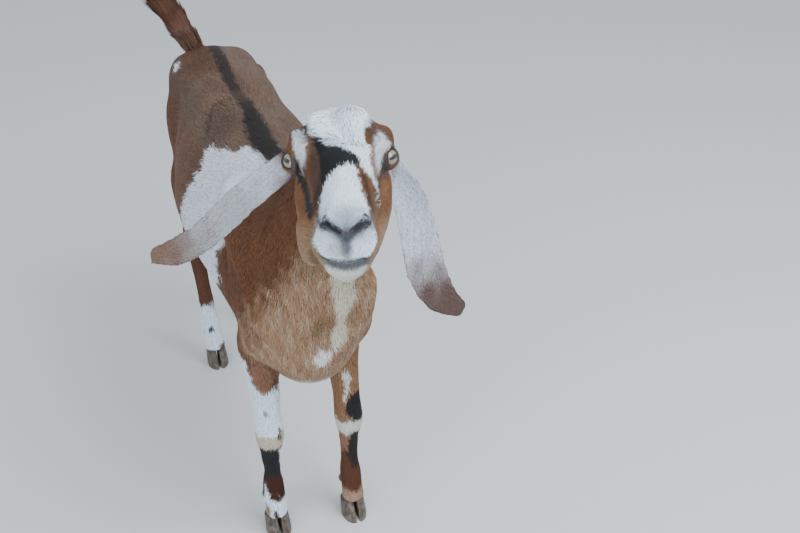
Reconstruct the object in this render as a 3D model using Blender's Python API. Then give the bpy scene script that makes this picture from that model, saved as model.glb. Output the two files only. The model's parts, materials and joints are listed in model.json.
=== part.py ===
"""A standing Anglo-Nubian doe, life size, as a still model.

The animal is built up from rounded masses, fused into one skin and then parted
with thin cuts into head, neck, trunk and legs. Ears, tail, eyes, hooves and dew
claws are bodies of their own. Metres, +Z up. The doe faces -Y, her left side is
+X, and her head is turned a little to her right with the muzzle held level.
The origin is the middle of the bottom of the whole animal's box, on the ground.
"""
from functools import partial
from math import cos, pi, radians, sin, tan

import bmesh
import bpy
from mathutils import Euler, Matrix, Vector

# ---- Driving dimensions -------------------------------------------------------

WITHERS_HEIGHT = 0.79       # ground to the top of the shoulders
CHEST_FLOOR = 0.405         # ground to the underside of the chest
FORE_STANCE = 0.077         # middle plane to each fore foot
HIND_STANCE = 0.078         # middle plane to each hind foot
FORE_FEET_Y = {"left": -0.014, "right": 0.002}
HIND_FEET_Y = {"left": 0.620, "right": 0.557}

BODY_SHIFT = 0.005          # the trunk sways this far to the doe's left of her feet
HEAD_CENTRE = Vector((0.001, -0.277, 0.957))   # midway between the eyes
HEAD_TURN = radians(17.2)   # muzzle swung to the doe's right
HEAD_DROP = radians(2.6)    # muzzle dips below level by this much
EYE_RADIUS = 0.0150
EYE_SPREAD = {"left": 0.0540, "right": 0.0580}   # middle of the face to each eyeball's centre
EYE_FORWARD = 0.004
EYE_RISE = 0.000

EAR_THICKNESS = 0.0045
HOOF_LENGTH = 0.058
CLAW_WIDTH = 0.0215
CLAW_CLEFT = 0.004          # gap between the two claws of a foot
CORONET_HEIGHT = 0.042      # ground to the top of the hoof at its middle
CORONET_SLOPE = radians(16)
DEW_CLAW_RADII = (0.0085, 0.0085, 0.0110)
DEW_CLAW_BACK = {"fore": 0.028, "hind": 0.032}   # behind the middle of the foot

CUT = 0.0004                # clear gap left wherever two bodies meet
SKIN_VOXEL = 0.0065         # fineness at which the masses are fused
FLESH_TRIANGLES = 3900
FACE_REACH = 0.20           # the face lies this near to the middle of the eyes
SOFTENING_SPAN = 0.08       # beyond the face and legs, the skin softens over this far
SHARP = 0.10                # how much of the softening reaches the face and legs
RING_POINTS = 28
EAR_RING_POINTS = 16
SIDES = {"left": 1.0, "right": -1.0}

ACROSS = Vector((1, 0, 0))

# The head's own frame: x to the doe's left, y towards the nape, z to the crown.
HEAD = (
    Matrix.Translation(HEAD_CENTRE)
    @ Matrix.Rotation(-HEAD_TURN, 4, "Z")
    @ Matrix.Rotation(HEAD_DROP, 4, "X")
)
BODY = Matrix.Translation((BODY_SHIFT, 0, 0))

# ---- Outlines -----------------------------------------------------------------
# Sections of the trunk, front to back:
# (distance back, back line, belly line, level of the widest point, half width)
TRUNK_SECTIONS = {
    "breast": (-0.118, 0.640, 0.490, 0.560, 0.042),
    "brisket": (-0.080, 0.725, 0.425, 0.550, 0.084),
    "shoulder": (-0.010, 0.775, CHEST_FLOOR - 0.005, 0.550, 0.108),
    "withers": (0.080, WITHERS_HEIGHT, CHEST_FLOOR - 0.005, 0.560, 0.118),
    "girth": (0.180, WITHERS_HEIGHT - 0.006, CHEST_FLOOR, 0.570, 0.132),
    "ribs": (0.300, WITHERS_HEIGHT - 0.010, CHEST_FLOOR - 0.004, 0.575, 0.146),
    "paunch": (0.400, WITHERS_HEIGHT - 0.010, CHEST_FLOOR + 0.006, 0.580, 0.144),
    "flank": (0.490, WITHERS_HEIGHT - 0.002, CHEST_FLOOR + 0.056, 0.610, 0.112),
    "hip": (0.570, WITHERS_HEIGHT - 0.002, 0.510, 0.640, 0.090),
    "rump": (0.650, 0.772, 0.545, 0.650, 0.072),
    "buttock": (0.708, 0.728, 0.600, 0.655, 0.044),
}
# Sections of the head in its own frame, nape to lips, in the same order of numbers.
HEAD_SECTIONS = {
    "nape": (0.095, 0.018, -0.070, -0.012, 0.040),
    "poll": (0.070, 0.033, -0.092, -0.010, 0.050),
    "temple": (0.035, 0.041, -0.098, -0.014, 0.055),
    "brow": (0.000, 0.040, -0.097, -0.018, 0.054),
    "cheek": (-0.035, 0.039, -0.092, -0.028, 0.047),
    "bridge": (-0.070, 0.035, -0.086, -0.034, 0.041),
    "muzzle": (-0.105, 0.027, -0.081, -0.036, 0.037),
    "nostril": (-0.135, 0.013, -0.076, -0.037, 0.035),
    "lips": (-0.156, -0.006, -0.064, -0.036, 0.026),
}
# Middles of the neck, shoulders to throat: (x, y, z, half width, half depth)
NECK_SECTIONS = {
    "root": (0.004, 0.050, 0.630, 0.104, 0.145),
    "base": (0.006, -0.030, 0.705, 0.088, 0.125),
    "middle": (0.012, -0.095, 0.790, 0.064, 0.092),
    "upper": (0.018, -0.150, 0.868, 0.053, 0.073),
    "throat": (0.020, -0.194, 0.925, 0.046, 0.060),
    "skull base": (0.018, -0.225, 0.950, 0.040, 0.046),
}
# A left fore leg from the elbow down: (x, y, z, half width, half depth)
FORE_LEG_SECTIONS = {
    "elbow": (0.079, 0.022, 0.480, 0.036, 0.056),
    "forearm": (0.0745, 0.010, 0.410, 0.0310, 0.041),
    "above knee": (0.075, -0.006, 0.320, 0.0250, 0.027),
    "knee": (0.076, -0.012, 0.262, 0.0275, 0.0280),
    "below knee": (0.076, -0.008, 0.222, 0.0200, 0.021),
    "cannon": (0.076, -0.006, 0.160, 0.0165, 0.0175),
    "fetlock": (0.077, -0.004, 0.103, 0.0215, 0.0225),
    "pastern": (0.077, -0.014, 0.068, 0.0205, 0.0200),
    "coronet": (0.077, -0.018, 0.030, 0.0255, 0.0240),
}
# A left hind leg from the stifle down, in the same order.
HIND_LEG_SECTIONS = {
    "stifle": (0.086, 0.545, 0.520, 0.040, 0.080),
    "gaskin": (0.086, 0.585, 0.440, 0.032, 0.058),
    "above hock": (0.083, 0.645, 0.358, 0.0205, 0.034),
    "hock": (0.083, 0.668, 0.305, 0.0210, 0.0330),
    "below hock": (0.081, 0.655, 0.255, 0.0180, 0.0230),
    "cannon": (0.079, 0.632, 0.180, 0.0160, 0.0185),
    "fetlock": (0.078, 0.606, 0.108, 0.0215, 0.0230),
    "pastern": (0.078, 0.588, 0.070, 0.0210, 0.0205),
    "coronet": (0.078, 0.578, 0.030, 0.0255, 0.0240),
}
# The tail, root to tip of its hair: (x, y, z, half width, half depth)
TAIL_SECTIONS = {
    "root": (-0.004, 0.640, 0.735, 0.028, 0.020),
    "base": (-0.014, 0.672, 0.762, 0.033, 0.018),
    "middle": (-0.042, 0.694, 0.800, 0.036, 0.015),
    "curl": (-0.068, 0.706, 0.842, 0.031, 0.012),
    "tip": (-0.074, 0.704, 0.895, 0.012, 0.007),
}
# The ears hang from the temples: (x, y, z, half width, cup depth)
EAR_SECTIONS = {
    "left": {
        "root": (0.060, -0.218, 0.918, 0.017, 0.000),
        "set": (0.088, -0.216, 0.895, 0.021, 0.006),
        "swell": (0.110, -0.230, 0.845, 0.026, 0.010),
        "middle": (0.116, -0.252, 0.797, 0.029, 0.006),
        "low": (0.118, -0.276, 0.755, 0.030, 0.003),
        "turn": (0.132, -0.300, 0.722, 0.025, 0.002),
        "tip": (0.160, -0.314, 0.704, 0.011, 0.000),
    },
    "right": {
        "root": (-0.040, -0.192, 0.922, 0.017, 0.000),
        "set": (-0.068, -0.192, 0.903, 0.020, 0.006),
        "swell": (-0.104, -0.182, 0.874, 0.023, 0.009),
        "middle": (-0.138, -0.168, 0.838, 0.023, 0.004),
        "low": (-0.170, -0.155, 0.806, 0.022, 0.002),
        "turn": (-0.204, -0.142, 0.785, 0.022, 0.002),
        "tip": (-0.238, -0.130, 0.779, 0.011, 0.000),
    },
}
EAR_FACING = {"left": Vector((-0.15, -0.90, 0.35)), "right": Vector((0.05, -0.70, 0.75))}


# ---- Curves through sections --------------------------------------------------

def curve_through(sections, steps):
    """Catmull-Rom values through a dictionary of sections, steps to each span."""
    rows = [Vector(row) for row in sections.values()]
    rows = [2 * rows[0] - rows[1]] + rows + [2 * rows[-1] - rows[-2]]
    values = []
    for first, second, third, fourth in zip(rows, rows[1:], rows[2:], rows[3:]):
        for step in range(steps):
            t = step / steps
            values.append(0.5 * (
                2 * second
                + (third - first) * t
                + (2 * first - 5 * second + 4 * third - fourth) * t * t
                + (3 * second - 3 * third - first + fourth) * t * t * t
            ))
    values.append(rows[-2])
    return values


def loft(name, rings):
    """One closed body through rings of equal count, both ends capped, faces outward."""
    mesh = bmesh.new()
    loops = [[mesh.verts.new(point) for point in ring] for ring in rings]
    for lower, upper in zip(loops, loops[1:]):
        for index in range(len(lower)):
            after = (index + 1) % len(lower)
            mesh.faces.new((lower[index], lower[after], upper[after], upper[index]))
    mesh.faces.new(loops[0][::-1])
    mesh.faces.new(loops[-1])
    bmesh.ops.recalc_face_normals(mesh, faces=mesh.faces)
    return to_object(name, mesh)


def to_object(name, mesh):
    """Turn a bmesh into a scene object and free it."""
    data = bpy.data.meshes.new(name)
    mesh.to_mesh(data)
    mesh.free()
    body = bpy.data.objects.new(name, data)
    bpy.context.scene.collection.objects.link(body)
    return body


def hull(name, sections, frame, steps=4):
    """A barrel-shaped body: each section is an egg with its own top, bottom and width."""
    rings = []
    for along, top, bottom, level, half_width in curve_through(sections, steps):
        ring = []
        for index in range(RING_POINTS):
            turn = 2 * pi * index / RING_POINTS
            reach = top - level if sin(turn) > 0 else level - bottom
            ring.append(frame @ Vector((half_width * cos(turn), along, level + reach * sin(turn))))
        rings.append(ring)
    return loft(name, rings)


def limb(name, sections, side=1.0, steps=4, shift=0.0, ring_points=RING_POINTS):
    """A tube along its sections, each ring square to the path. The shift moves the foot."""
    values = curve_through(sections, steps)
    top = values[0][2]
    places = []
    for x, y, z, _, _ in values:
        places.append(Vector((x * side, y + shift * (1 - z / top), z)))
    rings = []
    for index, value in enumerate(values):
        after = places[min(index + 1, len(places) - 1)]
        before = places[max(index - 1, 0)]
        along = (after - before).normalized()
        deep = along.cross(ACROSS).normalized()
        wide = deep.cross(along)
        ring = []
        for step in range(ring_points):
            turn = 2 * pi * step / ring_points
            offset = wide * (value[3] * cos(turn)) + deep * (value[4] * sin(turn))
            ring.append(places[index] + offset)
        rings.append(ring)
    return loft(name, rings)


def mass(name, centre, radii, lean=(0, 0, 0), frame=BODY):
    """A muscle or a bone under the skin: a stretched ball, turned by lean in degrees."""
    turn = Euler([radians(angle) for angle in lean]).to_matrix().to_4x4()
    size = Matrix.Diagonal((*radii, 1.0))
    mesh = bmesh.new()
    bmesh.ops.create_icosphere(mesh, subdivisions=3, radius=1.0)
    bmesh.ops.transform(mesh, matrix=frame @ Matrix.Translation(centre) @ turn @ size, verts=mesh.verts)
    return to_object(name, mesh)


def both_sides(name, centre, radii, lean=(0, 0, 0), frame=BODY):
    """The same mass on the left and, mirrored, on the right."""
    pair = []
    for side, sign in SIDES.items():
        place = (centre[0] * sign, centre[1], centre[2])
        turn = (lean[0], lean[1] * sign, lean[2] * sign)
        pair.append(mass(f"{name} {side}", place, radii, turn, frame))
    return pair


# ---- Masses of the animal -----------------------------------------------------

def trunk_masses():
    """Rib cage and belly, shoulder blades, rump bones, thighs and a small dry udder."""
    masses = [hull("barrel", TRUNK_SECTIONS, BODY)]
    masses += both_sides("shoulder blade", (0.072, 0.040, 0.650), (0.038, 0.085, 0.125), (-24, 8, 0))
    masses += both_sides("upper arm", (0.081, -0.015, 0.525), (0.034, 0.080, 0.065), (-28, 0, 0))
    masses += both_sides("point of shoulder", (0.074, -0.070, 0.575), (0.034, 0.040, 0.055))
    masses += both_sides("elbow", (0.081, 0.052, 0.462), (0.023, 0.026, 0.030))
    masses += both_sides("loin", (0.036, 0.420, 0.750), (0.050, 0.120, 0.036))
    masses += both_sides("hook bone", (0.064, 0.512, 0.746), (0.028, 0.046, 0.028))
    masses += both_sides("rump", (0.046, 0.600, 0.704), (0.052, 0.098, 0.072), (-10, 0, 0))
    masses += both_sides("pin bone", (0.038, 0.690, 0.705), (0.024, 0.026, 0.034))
    masses += both_sides("thigh", (0.070, 0.585, 0.590), (0.044, 0.098, 0.125), (14, 6, 0))
    masses += both_sides("hamstring", (0.060, 0.655, 0.595), (0.036, 0.050, 0.110), (-8, 6, 0))
    masses += both_sides("stifle", (0.090, 0.515, 0.510), (0.032, 0.040, 0.050))
    masses += both_sides("udder", (0.030, 0.560, 0.475), (0.036, 0.052, 0.042))
    masses += both_sides("teat", (0.036, 0.545, 0.428), (0.009, 0.010, 0.024), (12, 10, 0))
    return masses


def neck_masses():
    """The neck, and the soft pit where the throat meets the breast."""
    return [
        limb("neck", NECK_SECTIONS),
        mass("breast", (0.003, -0.070, 0.580), (0.076, 0.054, 0.120), (22, 0, 0)),
        mass("neck base", (0.004, -0.068, 0.655), (0.088, 0.062, 0.110), (38, 0, 0)),
        mass("raised shoulder", (0.079, -0.068, 0.605), (0.035, 0.042, 0.050)),
    ]


def head_masses():
    """Skull, cheeks, brow ridges, muzzle, lips and chin, in the head's frame."""
    masses = [hull("skull", HEAD_SECTIONS, HEAD)]
    masses += [
        mass("orbit left", (0.0455, 0.006, 0.004), (0.0235, 0.029, 0.025), frame=HEAD),
        mass("orbit right", (-0.0490, 0.006, 0.004), (0.0235, 0.029, 0.025), frame=HEAD),
        mass("full cheek", (-0.040, -0.072, -0.062), (0.021, 0.056, 0.023), (6, 0, 0), frame=HEAD),
    ]
    masses += both_sides("brow ridge", (0.038, 0.004, 0.025), (0.018, 0.024, 0.013), frame=HEAD)
    masses += both_sides("cheek", (0.045, 0.004, -0.054), (0.018, 0.056, 0.040), (16, 0, 0), HEAD)
    masses += both_sides("jaw", (0.032, -0.036, -0.067), (0.020, 0.062, 0.024), (5, 0, 0), HEAD)
    masses += both_sides("ear root", (0.052, 0.050, -0.004), (0.018, 0.022, 0.022), frame=HEAD)
    masses += both_sides("nostril wing", (0.019, -0.143, -0.001), (0.012, 0.016, 0.015), frame=HEAD)
    masses += both_sides("upper lip", (0.021, -0.138, -0.034), (0.0195, 0.024, 0.019), frame=HEAD)
    masses += [
        mass("nose", (0, -0.144, -0.006), (0.014, 0.017, 0.018), frame=HEAD),
        mass("lower lip", (0, -0.138, -0.058), (0.026, 0.022, 0.012), frame=HEAD),
        mass("chin", (0, -0.130, -0.070), (0.021, 0.024, 0.015), frame=HEAD),
        mass("crown", (0.005, 0.044, 0.023), (0.038, 0.042, 0.020), frame=HEAD),
    ]
    return masses


def leg_masses():
    """Four legs down to the hooves, with the knobs of knee, hock and fetlock."""
    masses = []
    for side, sign in SIDES.items():
        fore_shift = FORE_FEET_Y[side] - FORE_LEG_SECTIONS["coronet"][1]
        hind_shift = HIND_FEET_Y[side] - HIND_LEG_SECTIONS["coronet"][1]
        masses.append(limb(f"fore leg {side}", FORE_LEG_SECTIONS, sign, shift=fore_shift))
        masses.append(limb(f"hind leg {side}", HIND_LEG_SECTIONS, sign, shift=hind_shift))
        point_of_hock = (0.083 * sign, 0.690 + hind_shift * 0.42, 0.335)
        masses.append(mass(f"point of hock {side}", point_of_hock, (0.014, 0.018, 0.030), (-20, 0, 0)))
        pisiform = (0.079 * sign, 0.012 + fore_shift * 0.45, 0.270)
        masses.append(mass(f"back of knee {side}", pisiform, (0.014, 0.014, 0.020)))
    return masses


# ---- Fusing and parting -------------------------------------------------------

def evaluated_copy(body, name):
    """The body with its modifiers carried out, as a new object. The old one is removed."""
    bpy.context.view_layer.update()
    depsgraph = bpy.context.evaluated_depsgraph_get()
    data = bpy.data.meshes.new_from_object(body.evaluated_get(depsgraph))
    data.name = name
    bpy.data.objects.remove(body)
    result = bpy.data.objects.new(name, data)
    bpy.context.scene.collection.objects.link(result)
    return result


def joined(name, bodies):
    """All the bodies' meshes as the loose shells of one object."""
    mesh = bmesh.new()
    for body in bodies:
        mesh.from_mesh(body.data)
        bpy.data.objects.remove(body)
    return to_object(name, mesh)


def fuse(name, bodies):
    """Melt overlapping masses into one closed skin, softer on the body than the face."""
    skin = joined(name, bodies)
    remesh = skin.modifiers.new("melt", "REMESH")
    remesh.mode = "VOXEL"
    remesh.voxel_size = SKIN_VOXEL
    skin = evaluated_copy(skin, name)
    soft = skin.vertex_groups.new(name="soft")
    into_head = HEAD.inverted()
    for vertex in skin.data.vertices:
        from_face = (into_head @ vertex.co).length - FACE_REACH
        above_legs = vertex.co.z - CHEST_FLOOR
        softness = min(from_face, above_legs) / SOFTENING_SPAN
        soft.add([vertex.index], min(max(softness, SHARP), 1.0), "REPLACE")
    smooth = skin.modifiers.new("soften", "SMOOTH")
    smooth.factor = 0.6
    smooth.iterations = 24
    smooth.vertex_group = "soft"
    return evaluated_copy(skin, name)


def thin_out(skin, name):
    """Bring the fused skin down to its triangle budget, keeping them where it curves."""
    decimate = skin.modifiers.new("thin out", "DECIMATE")
    decimate.decimate_type = "COLLAPSE"
    decimate.ratio = FLESH_TRIANGLES / (2 * len(skin.data.polygons))
    decimate.use_collapse_triangulate = True
    return evaluated_copy(skin, name)


def cut(body, cutter, operation, name):
    """The body minus the cutter, or their overlap, as a new object."""
    boolean = body.modifiers.new(operation.lower(), "BOOLEAN")
    boolean.operation = operation
    boolean.solver = "EXACT"
    boolean.object = cutter
    return evaluated_copy(body, name)


def duplicate(body, name):
    """A separate object with its own copy of the mesh."""
    twin = bpy.data.objects.new(name, body.data.copy())
    bpy.context.scene.collection.objects.link(twin)
    return twin


def part_off(body, region, name):
    """Split the body where a region reaches into it. Returns the part and the rest.

    The region is a function that makes the cutting solid, grown by a distance.
    """
    inner = region(-CUT / 2)
    outer = region(CUT / 2)
    part = cut(duplicate(body, name), inner, "INTERSECT", name)
    rest = cut(body, outer, "DIFFERENCE", body.name)
    bpy.data.objects.remove(inner)
    bpy.data.objects.remove(outer)
    return part, rest


def half_space(point, normal, grow):
    """A big block whose one face passes through the point, on the normal's side of it."""
    size = 2.0
    facing = normal.to_track_quat("Z", "Y").to_matrix().to_4x4()
    mesh = bmesh.new()
    bmesh.ops.create_cube(mesh, size=size)
    place = Matrix.Translation(point) @ facing @ Matrix.Translation((0, 0, size / 2 - grow))
    bmesh.ops.transform(mesh, matrix=place, verts=mesh.verts)
    return to_object("half space", mesh)


def head_region(grow):
    """All that lies ahead of a plane from behind the poll to the throat."""
    normal = HEAD.to_3x3() @ Vector((0, -0.95, 0.32))
    return half_space(HEAD @ Vector((0, 0.072, -0.020)), normal, grow)


def neck_region(grow):
    """All that lies above a plane from the withers to the top of the breast."""
    return half_space(Vector((0, -0.042, 0.712)), Vector((0, -0.78, 0.63)).normalized(), grow)


def arch_region(sign, middle, half_span, spring, top, inner_face, grow):
    """An arched block that takes in one leg with its shoulder or thigh.

    The arch stands on the ground and runs outwards from a slanting inner face,
    which is given by its distance from the middle plane at chest level and its slope.
    """
    outline = [(middle + half_span + grow, -0.1)]
    arch_steps = 10
    for step in range(arch_steps + 1):
        turn = pi * step / arch_steps
        rise = (top - spring + grow) * sin(turn)
        outline.append((middle + (half_span + grow) * cos(turn), spring + rise))
    outline.append((middle - half_span - grow, -0.1))
    distance, slope = inner_face
    rings = []
    for reach in (0.0, 0.4):
        ring = []
        for y, z in outline:
            x = distance + slope * (z - CHEST_FLOOR) - grow + reach
            ring.append(Vector((x * sign, y, z)))
        rings.append(ring)
    return loft("arch", rings)


def fore_leg_region(side, grow):
    """The shoulder, upper arm and fore leg of one side."""
    return arch_region(SIDES[side], 0.010, 0.098, 0.600, 0.735, (0.034, 0.10), grow)


def hind_leg_region(side, grow):
    """The thigh, stifle and hind leg of one side."""
    return arch_region(SIDES[side], 0.600, 0.132, 0.540, 0.720, (0.040, 0.10), grow)


# ---- Ears, tail, eyes, feet ---------------------------------------------------

def ear(side, name, grow=0.0):
    """A long pendulous ear: a thin leaf, cupped at the top and turned out at the tip."""
    values = curve_through(EAR_SECTIONS[side], 2)
    places = [Vector(value[:3]) for value in values]
    rings = []
    for index, value in enumerate(values):
        after = places[min(index + 1, len(places) - 1)]
        before = places[max(index - 1, 0)]
        along = (after - before).normalized()
        wide = along.cross(EAR_FACING[side]).normalized()
        facing = wide.cross(along)
        half_width, cup = value[3], value[4]
        root_swell = 0.007 * max(0.0, 1 - index / 3)
        half_thickness = EAR_THICKNESS / 2 + root_swell + grow
        ring = []
        for step in range(EAR_RING_POINTS):
            turn = 2 * pi * step / EAR_RING_POINTS
            spread = cos(turn)
            depth = cup * spread * spread + half_thickness * sin(turn)
            offset = wide * ((half_width + grow) * spread) + facing * depth
            ring.append(places[index] + offset)
        rings.append(ring)
    return loft(name, rings)


def tail(name, grow=0.0):
    """A short upturned tail with a flat fringe of hair, leaning to the doe's right."""
    sections = {}
    for key, row in TAIL_SECTIONS.items():
        sections[key] = (*row[:3], row[3] + grow, row[4] + grow)
    return limb(name, sections, steps=2, ring_points=16)


def eye(side, name, grow=0.0):
    """An eyeball at its place in the head."""
    mesh = bmesh.new()
    bmesh.ops.create_icosphere(mesh, subdivisions=3, radius=EYE_RADIUS + grow)
    place = HEAD @ Vector((EYE_SPREAD[side] * SIDES[side], -EYE_FORWARD, EYE_RISE))
    bmesh.ops.translate(mesh, vec=place, verts=mesh.verts)
    return to_object(name, mesh)


def coronet_height(foot, y):
    """Height of the top of a foot's hooves, which slopes down from toe to heel."""
    return CORONET_HEIGHT - (y - foot.y) * tan(CORONET_SLOPE)


def claw(name, foot, sign):
    """One claw of a cloven hoof: flat-soled, pointed ahead, straight on the cleft side."""
    inner_bulge = 0.10          # of the width, on the side that faces the other claw
    toe_taper = 0.18            # how much narrower the claw is at its toe
    setback = 0.22              # of the length, sole to top
    levels = ((0.0, 1.00), (0.5, 0.87), (1.0, 0.76))
    outline_points = 14
    rings = []
    for level, scale in levels:
        ring = []
        for step in range(outline_points):
            turn = 2 * pi * step / outline_points
            outward = sin(turn)
            bulge = outward ** 0.8 if outward > 0 else inner_bulge * outward
            narrow = (1 - toe_taper * max(0.0, cos(turn))) * (0.6 + 0.4 * scale)
            across = CLAW_CLEFT / 2 + CLAW_WIDTH * (inner_bulge + bulge * narrow)
            ahead = HOOF_LENGTH * (0.5 * cos(turn) * scale - setback * level + 0.04)
            y = foot.y - ahead
            z = (coronet_height(foot, y) - CUT) * level
            ring.append(Vector((foot.x + sign * across, y, z)))
        rings.append(ring)
    return loft(name, rings)


def hoof_block(foot):
    """A wedge that fills the space of both claws of a foot, up to the coronet."""
    half_width = 0.040
    half_length = 0.060
    rings = []
    for x in (foot.x - half_width, foot.x + half_width):
        ring = []
        for y in (foot.y - half_length, foot.y + half_length):
            ring.append(Vector((x, y, -0.05)))
        for y in (foot.y + half_length, foot.y - half_length):
            ring.append(Vector((x, y, coronet_height(foot, y))))
        rings.append(ring)
    return loft("hoof block", rings)


def dew_claw(name, foot, sign, grow=0.0):
    """A small blunt horn behind the fetlock."""
    mesh = bmesh.new()
    bmesh.ops.create_uvsphere(mesh, u_segments=6, v_segments=4, radius=1.0)
    size = Matrix.Diagonal([radius + grow for radius in DEW_CLAW_RADII] + [1.0])
    behind = DEW_CLAW_BACK["fore" if foot.y < HIND_FEET_Y["right"] else "hind"]
    place = Matrix.Translation((foot.x + sign * 0.013, foot.y + behind, 0.078))
    bmesh.ops.transform(mesh, matrix=place @ size, verts=mesh.verts)
    return to_object(name, mesh)


def feet():
    """Each foot's name and its middle on the ground."""
    places = {}
    for side, sign in SIDES.items():
        places[f"fore_{side}"] = Vector((FORE_STANCE * sign, FORE_FEET_Y[side], 0))
        places[f"hind_{side}"] = Vector((HIND_STANCE * sign, HIND_FEET_Y[side], 0))
    return places


# ---- Finishes -----------------------------------------------------------------

def finish(name, colour, roughness, metallic=0.0):
    """A plain material with the part's colour."""
    material = bpy.data.materials.new(name)
    material.use_nodes = True
    shader = material.node_tree.nodes["Principled BSDF"]
    shader.inputs["Base Color"].default_value = (*colour, 1.0)
    shader.inputs["Roughness"].default_value = roughness
    shader.inputs["Metallic"].default_value = metallic
    return material


COLOURS = {
    "head": ((0.36, 0.16, 0.07), 0.75),
    "neck": ((0.30, 0.13, 0.06), 0.75),
    "trunk": ((0.26, 0.11, 0.06), 0.75),
    "foreleg": ((0.42, 0.24, 0.14), 0.75),
    "hindleg": ((0.42, 0.24, 0.14), 0.75),
    "tail": ((0.24, 0.09, 0.05), 0.80),
    "ear": ((0.50, 0.42, 0.42), 0.80),
    "eye": ((0.55, 0.42, 0.16), 0.10),
    "hoof": ((0.12, 0.09, 0.07), 0.55),
    "dewclaw": ((0.12, 0.09, 0.07), 0.55),
}


def dress(body):
    """Give a body its own material, in the colour of its kind."""
    colour, roughness = COLOURS[body.name.split("_")[0]]
    body.data.materials.clear()
    body.data.materials.append(finish(f"{body.name} finish", colour, roughness))


# ---- Assembly -----------------------------------------------------------------

def pocket(body, insert):
    """Sink a slightly larger copy of an insert into a body, and remove the copy."""
    result = cut(body, insert, "DIFFERENCE", body.name)
    bpy.data.objects.remove(insert)
    return result


def make_flesh():
    """The whole skin from muzzle to feet, at its triangle budget, without its inserts."""
    masses = trunk_masses() + neck_masses() + head_masses() + leg_masses()
    return thin_out(fuse("flesh", masses), "flesh")


def make_inserts():
    """Ears, eyes, tail, hooves and dew claws, each a body of its own."""
    made = [tail("tail")]
    for side in SIDES:
        made.append(ear(side, f"ear_{side}"))
        made.append(eye(side, f"eye_{side}"))
    for foot_name, foot in feet().items():
        away = 1.0 if foot.x > 0 else -1.0
        for place, sign in (("inner", -away), ("outer", away)):
            made.append(claw(f"hoof_{foot_name}_{place}", foot, sign))
            made.append(dew_claw(f"dewclaw_{foot_name}_{place}", foot, sign))
    return made


def make_room(flesh):
    """Cut the flesh back from every insert, and off at the top of the hooves."""
    for side in SIDES:
        flesh = pocket(flesh, ear(side, "ear pocket", CUT))
        flesh = pocket(flesh, eye(side, "eye socket", CUT))
    flesh = pocket(flesh, tail("tail pocket", 3 * CUT))
    for foot in feet().values():
        flesh = pocket(flesh, hoof_block(foot))
        for sign in (-1.0, 1.0):
            flesh = pocket(flesh, dew_claw("dew claw pocket", foot, sign, CUT))
    return flesh


def part_flesh(flesh):
    """Divide the flesh into four legs, neck, head and trunk."""
    parts = []
    for side in SIDES:
        fore_region = partial(fore_leg_region, side)
        hind_region = partial(hind_leg_region, side)
        fore_leg, flesh = part_off(flesh, fore_region, f"foreleg_{side}")
        hind_leg, flesh = part_off(flesh, hind_region, f"hindleg_{side}")
        parts += [fore_leg, hind_leg]
    neck, flesh = part_off(flesh, neck_region, "neck")
    head, neck = part_off(neck, head_region, "head")
    flesh.name = "trunk"
    return parts + [head, neck, flesh]


def stand_at_origin(bodies):
    """Move everything so that the middle of the bottom of the whole box is the origin."""
    corners = [vertex.co for body in bodies for vertex in body.data.vertices]
    middle = []
    for axis in range(2):
        low = min(corner[axis] for corner in corners)
        high = max(corner[axis] for corner in corners)
        middle.append((low + high) / 2)
    lowest = min(corner.z for corner in corners)
    for body in bodies:
        body.data.transform(Matrix.Translation((-middle[0], -middle[1], -lowest)))


def main():
    """Build every body, in the order flesh, inserts, pockets, parts."""
    for leftover in list(bpy.data.objects):
        bpy.data.objects.remove(leftover)
    flesh = make_room(make_flesh())
    bodies = part_flesh(flesh) + make_inserts()
    for body in bodies:
        dress(body)
    stand_at_origin(bodies)


main()
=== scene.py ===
# %% [markdown]
# # A standing Anglo-Nubian doe, life size
# A museum model of a real animal: one skin from muzzle to coronet, a short coat of
# hair locks that lie on it, wet eyes with level slit pupils, and horn on the feet.
# The solid model comes first. It gives every size and place, so nothing here is
# fitted by hand: the skin is made from copies of the solids of flesh.

# %% Load the solid model
import json
from math import atan2, cos, degrees, pi, radians, sin

import bmesh
import bpy
import numpy as np
from mathutils import Matrix, Vector
from mathutils.bvhtree import BVHTree
from mathutils.kdtree import KDTree

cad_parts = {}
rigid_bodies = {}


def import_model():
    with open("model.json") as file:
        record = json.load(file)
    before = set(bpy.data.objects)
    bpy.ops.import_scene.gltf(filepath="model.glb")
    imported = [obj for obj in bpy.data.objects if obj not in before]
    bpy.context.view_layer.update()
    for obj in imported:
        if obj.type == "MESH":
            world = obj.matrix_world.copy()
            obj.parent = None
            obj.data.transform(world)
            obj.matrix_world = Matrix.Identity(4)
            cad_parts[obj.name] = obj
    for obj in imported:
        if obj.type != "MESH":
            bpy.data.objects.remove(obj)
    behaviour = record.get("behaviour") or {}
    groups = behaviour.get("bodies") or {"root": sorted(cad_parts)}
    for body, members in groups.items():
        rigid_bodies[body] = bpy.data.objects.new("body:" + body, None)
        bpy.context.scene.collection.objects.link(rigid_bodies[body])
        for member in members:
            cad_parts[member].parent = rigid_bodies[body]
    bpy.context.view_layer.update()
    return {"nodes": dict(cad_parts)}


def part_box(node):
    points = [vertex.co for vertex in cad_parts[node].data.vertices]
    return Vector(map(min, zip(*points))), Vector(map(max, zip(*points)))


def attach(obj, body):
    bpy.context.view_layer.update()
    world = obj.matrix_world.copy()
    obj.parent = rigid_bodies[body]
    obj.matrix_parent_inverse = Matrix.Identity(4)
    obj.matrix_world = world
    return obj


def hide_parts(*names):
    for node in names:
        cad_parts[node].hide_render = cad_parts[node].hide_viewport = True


for leftover in list(bpy.data.objects):
    bpy.data.objects.remove(leftover)
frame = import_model()
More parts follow.
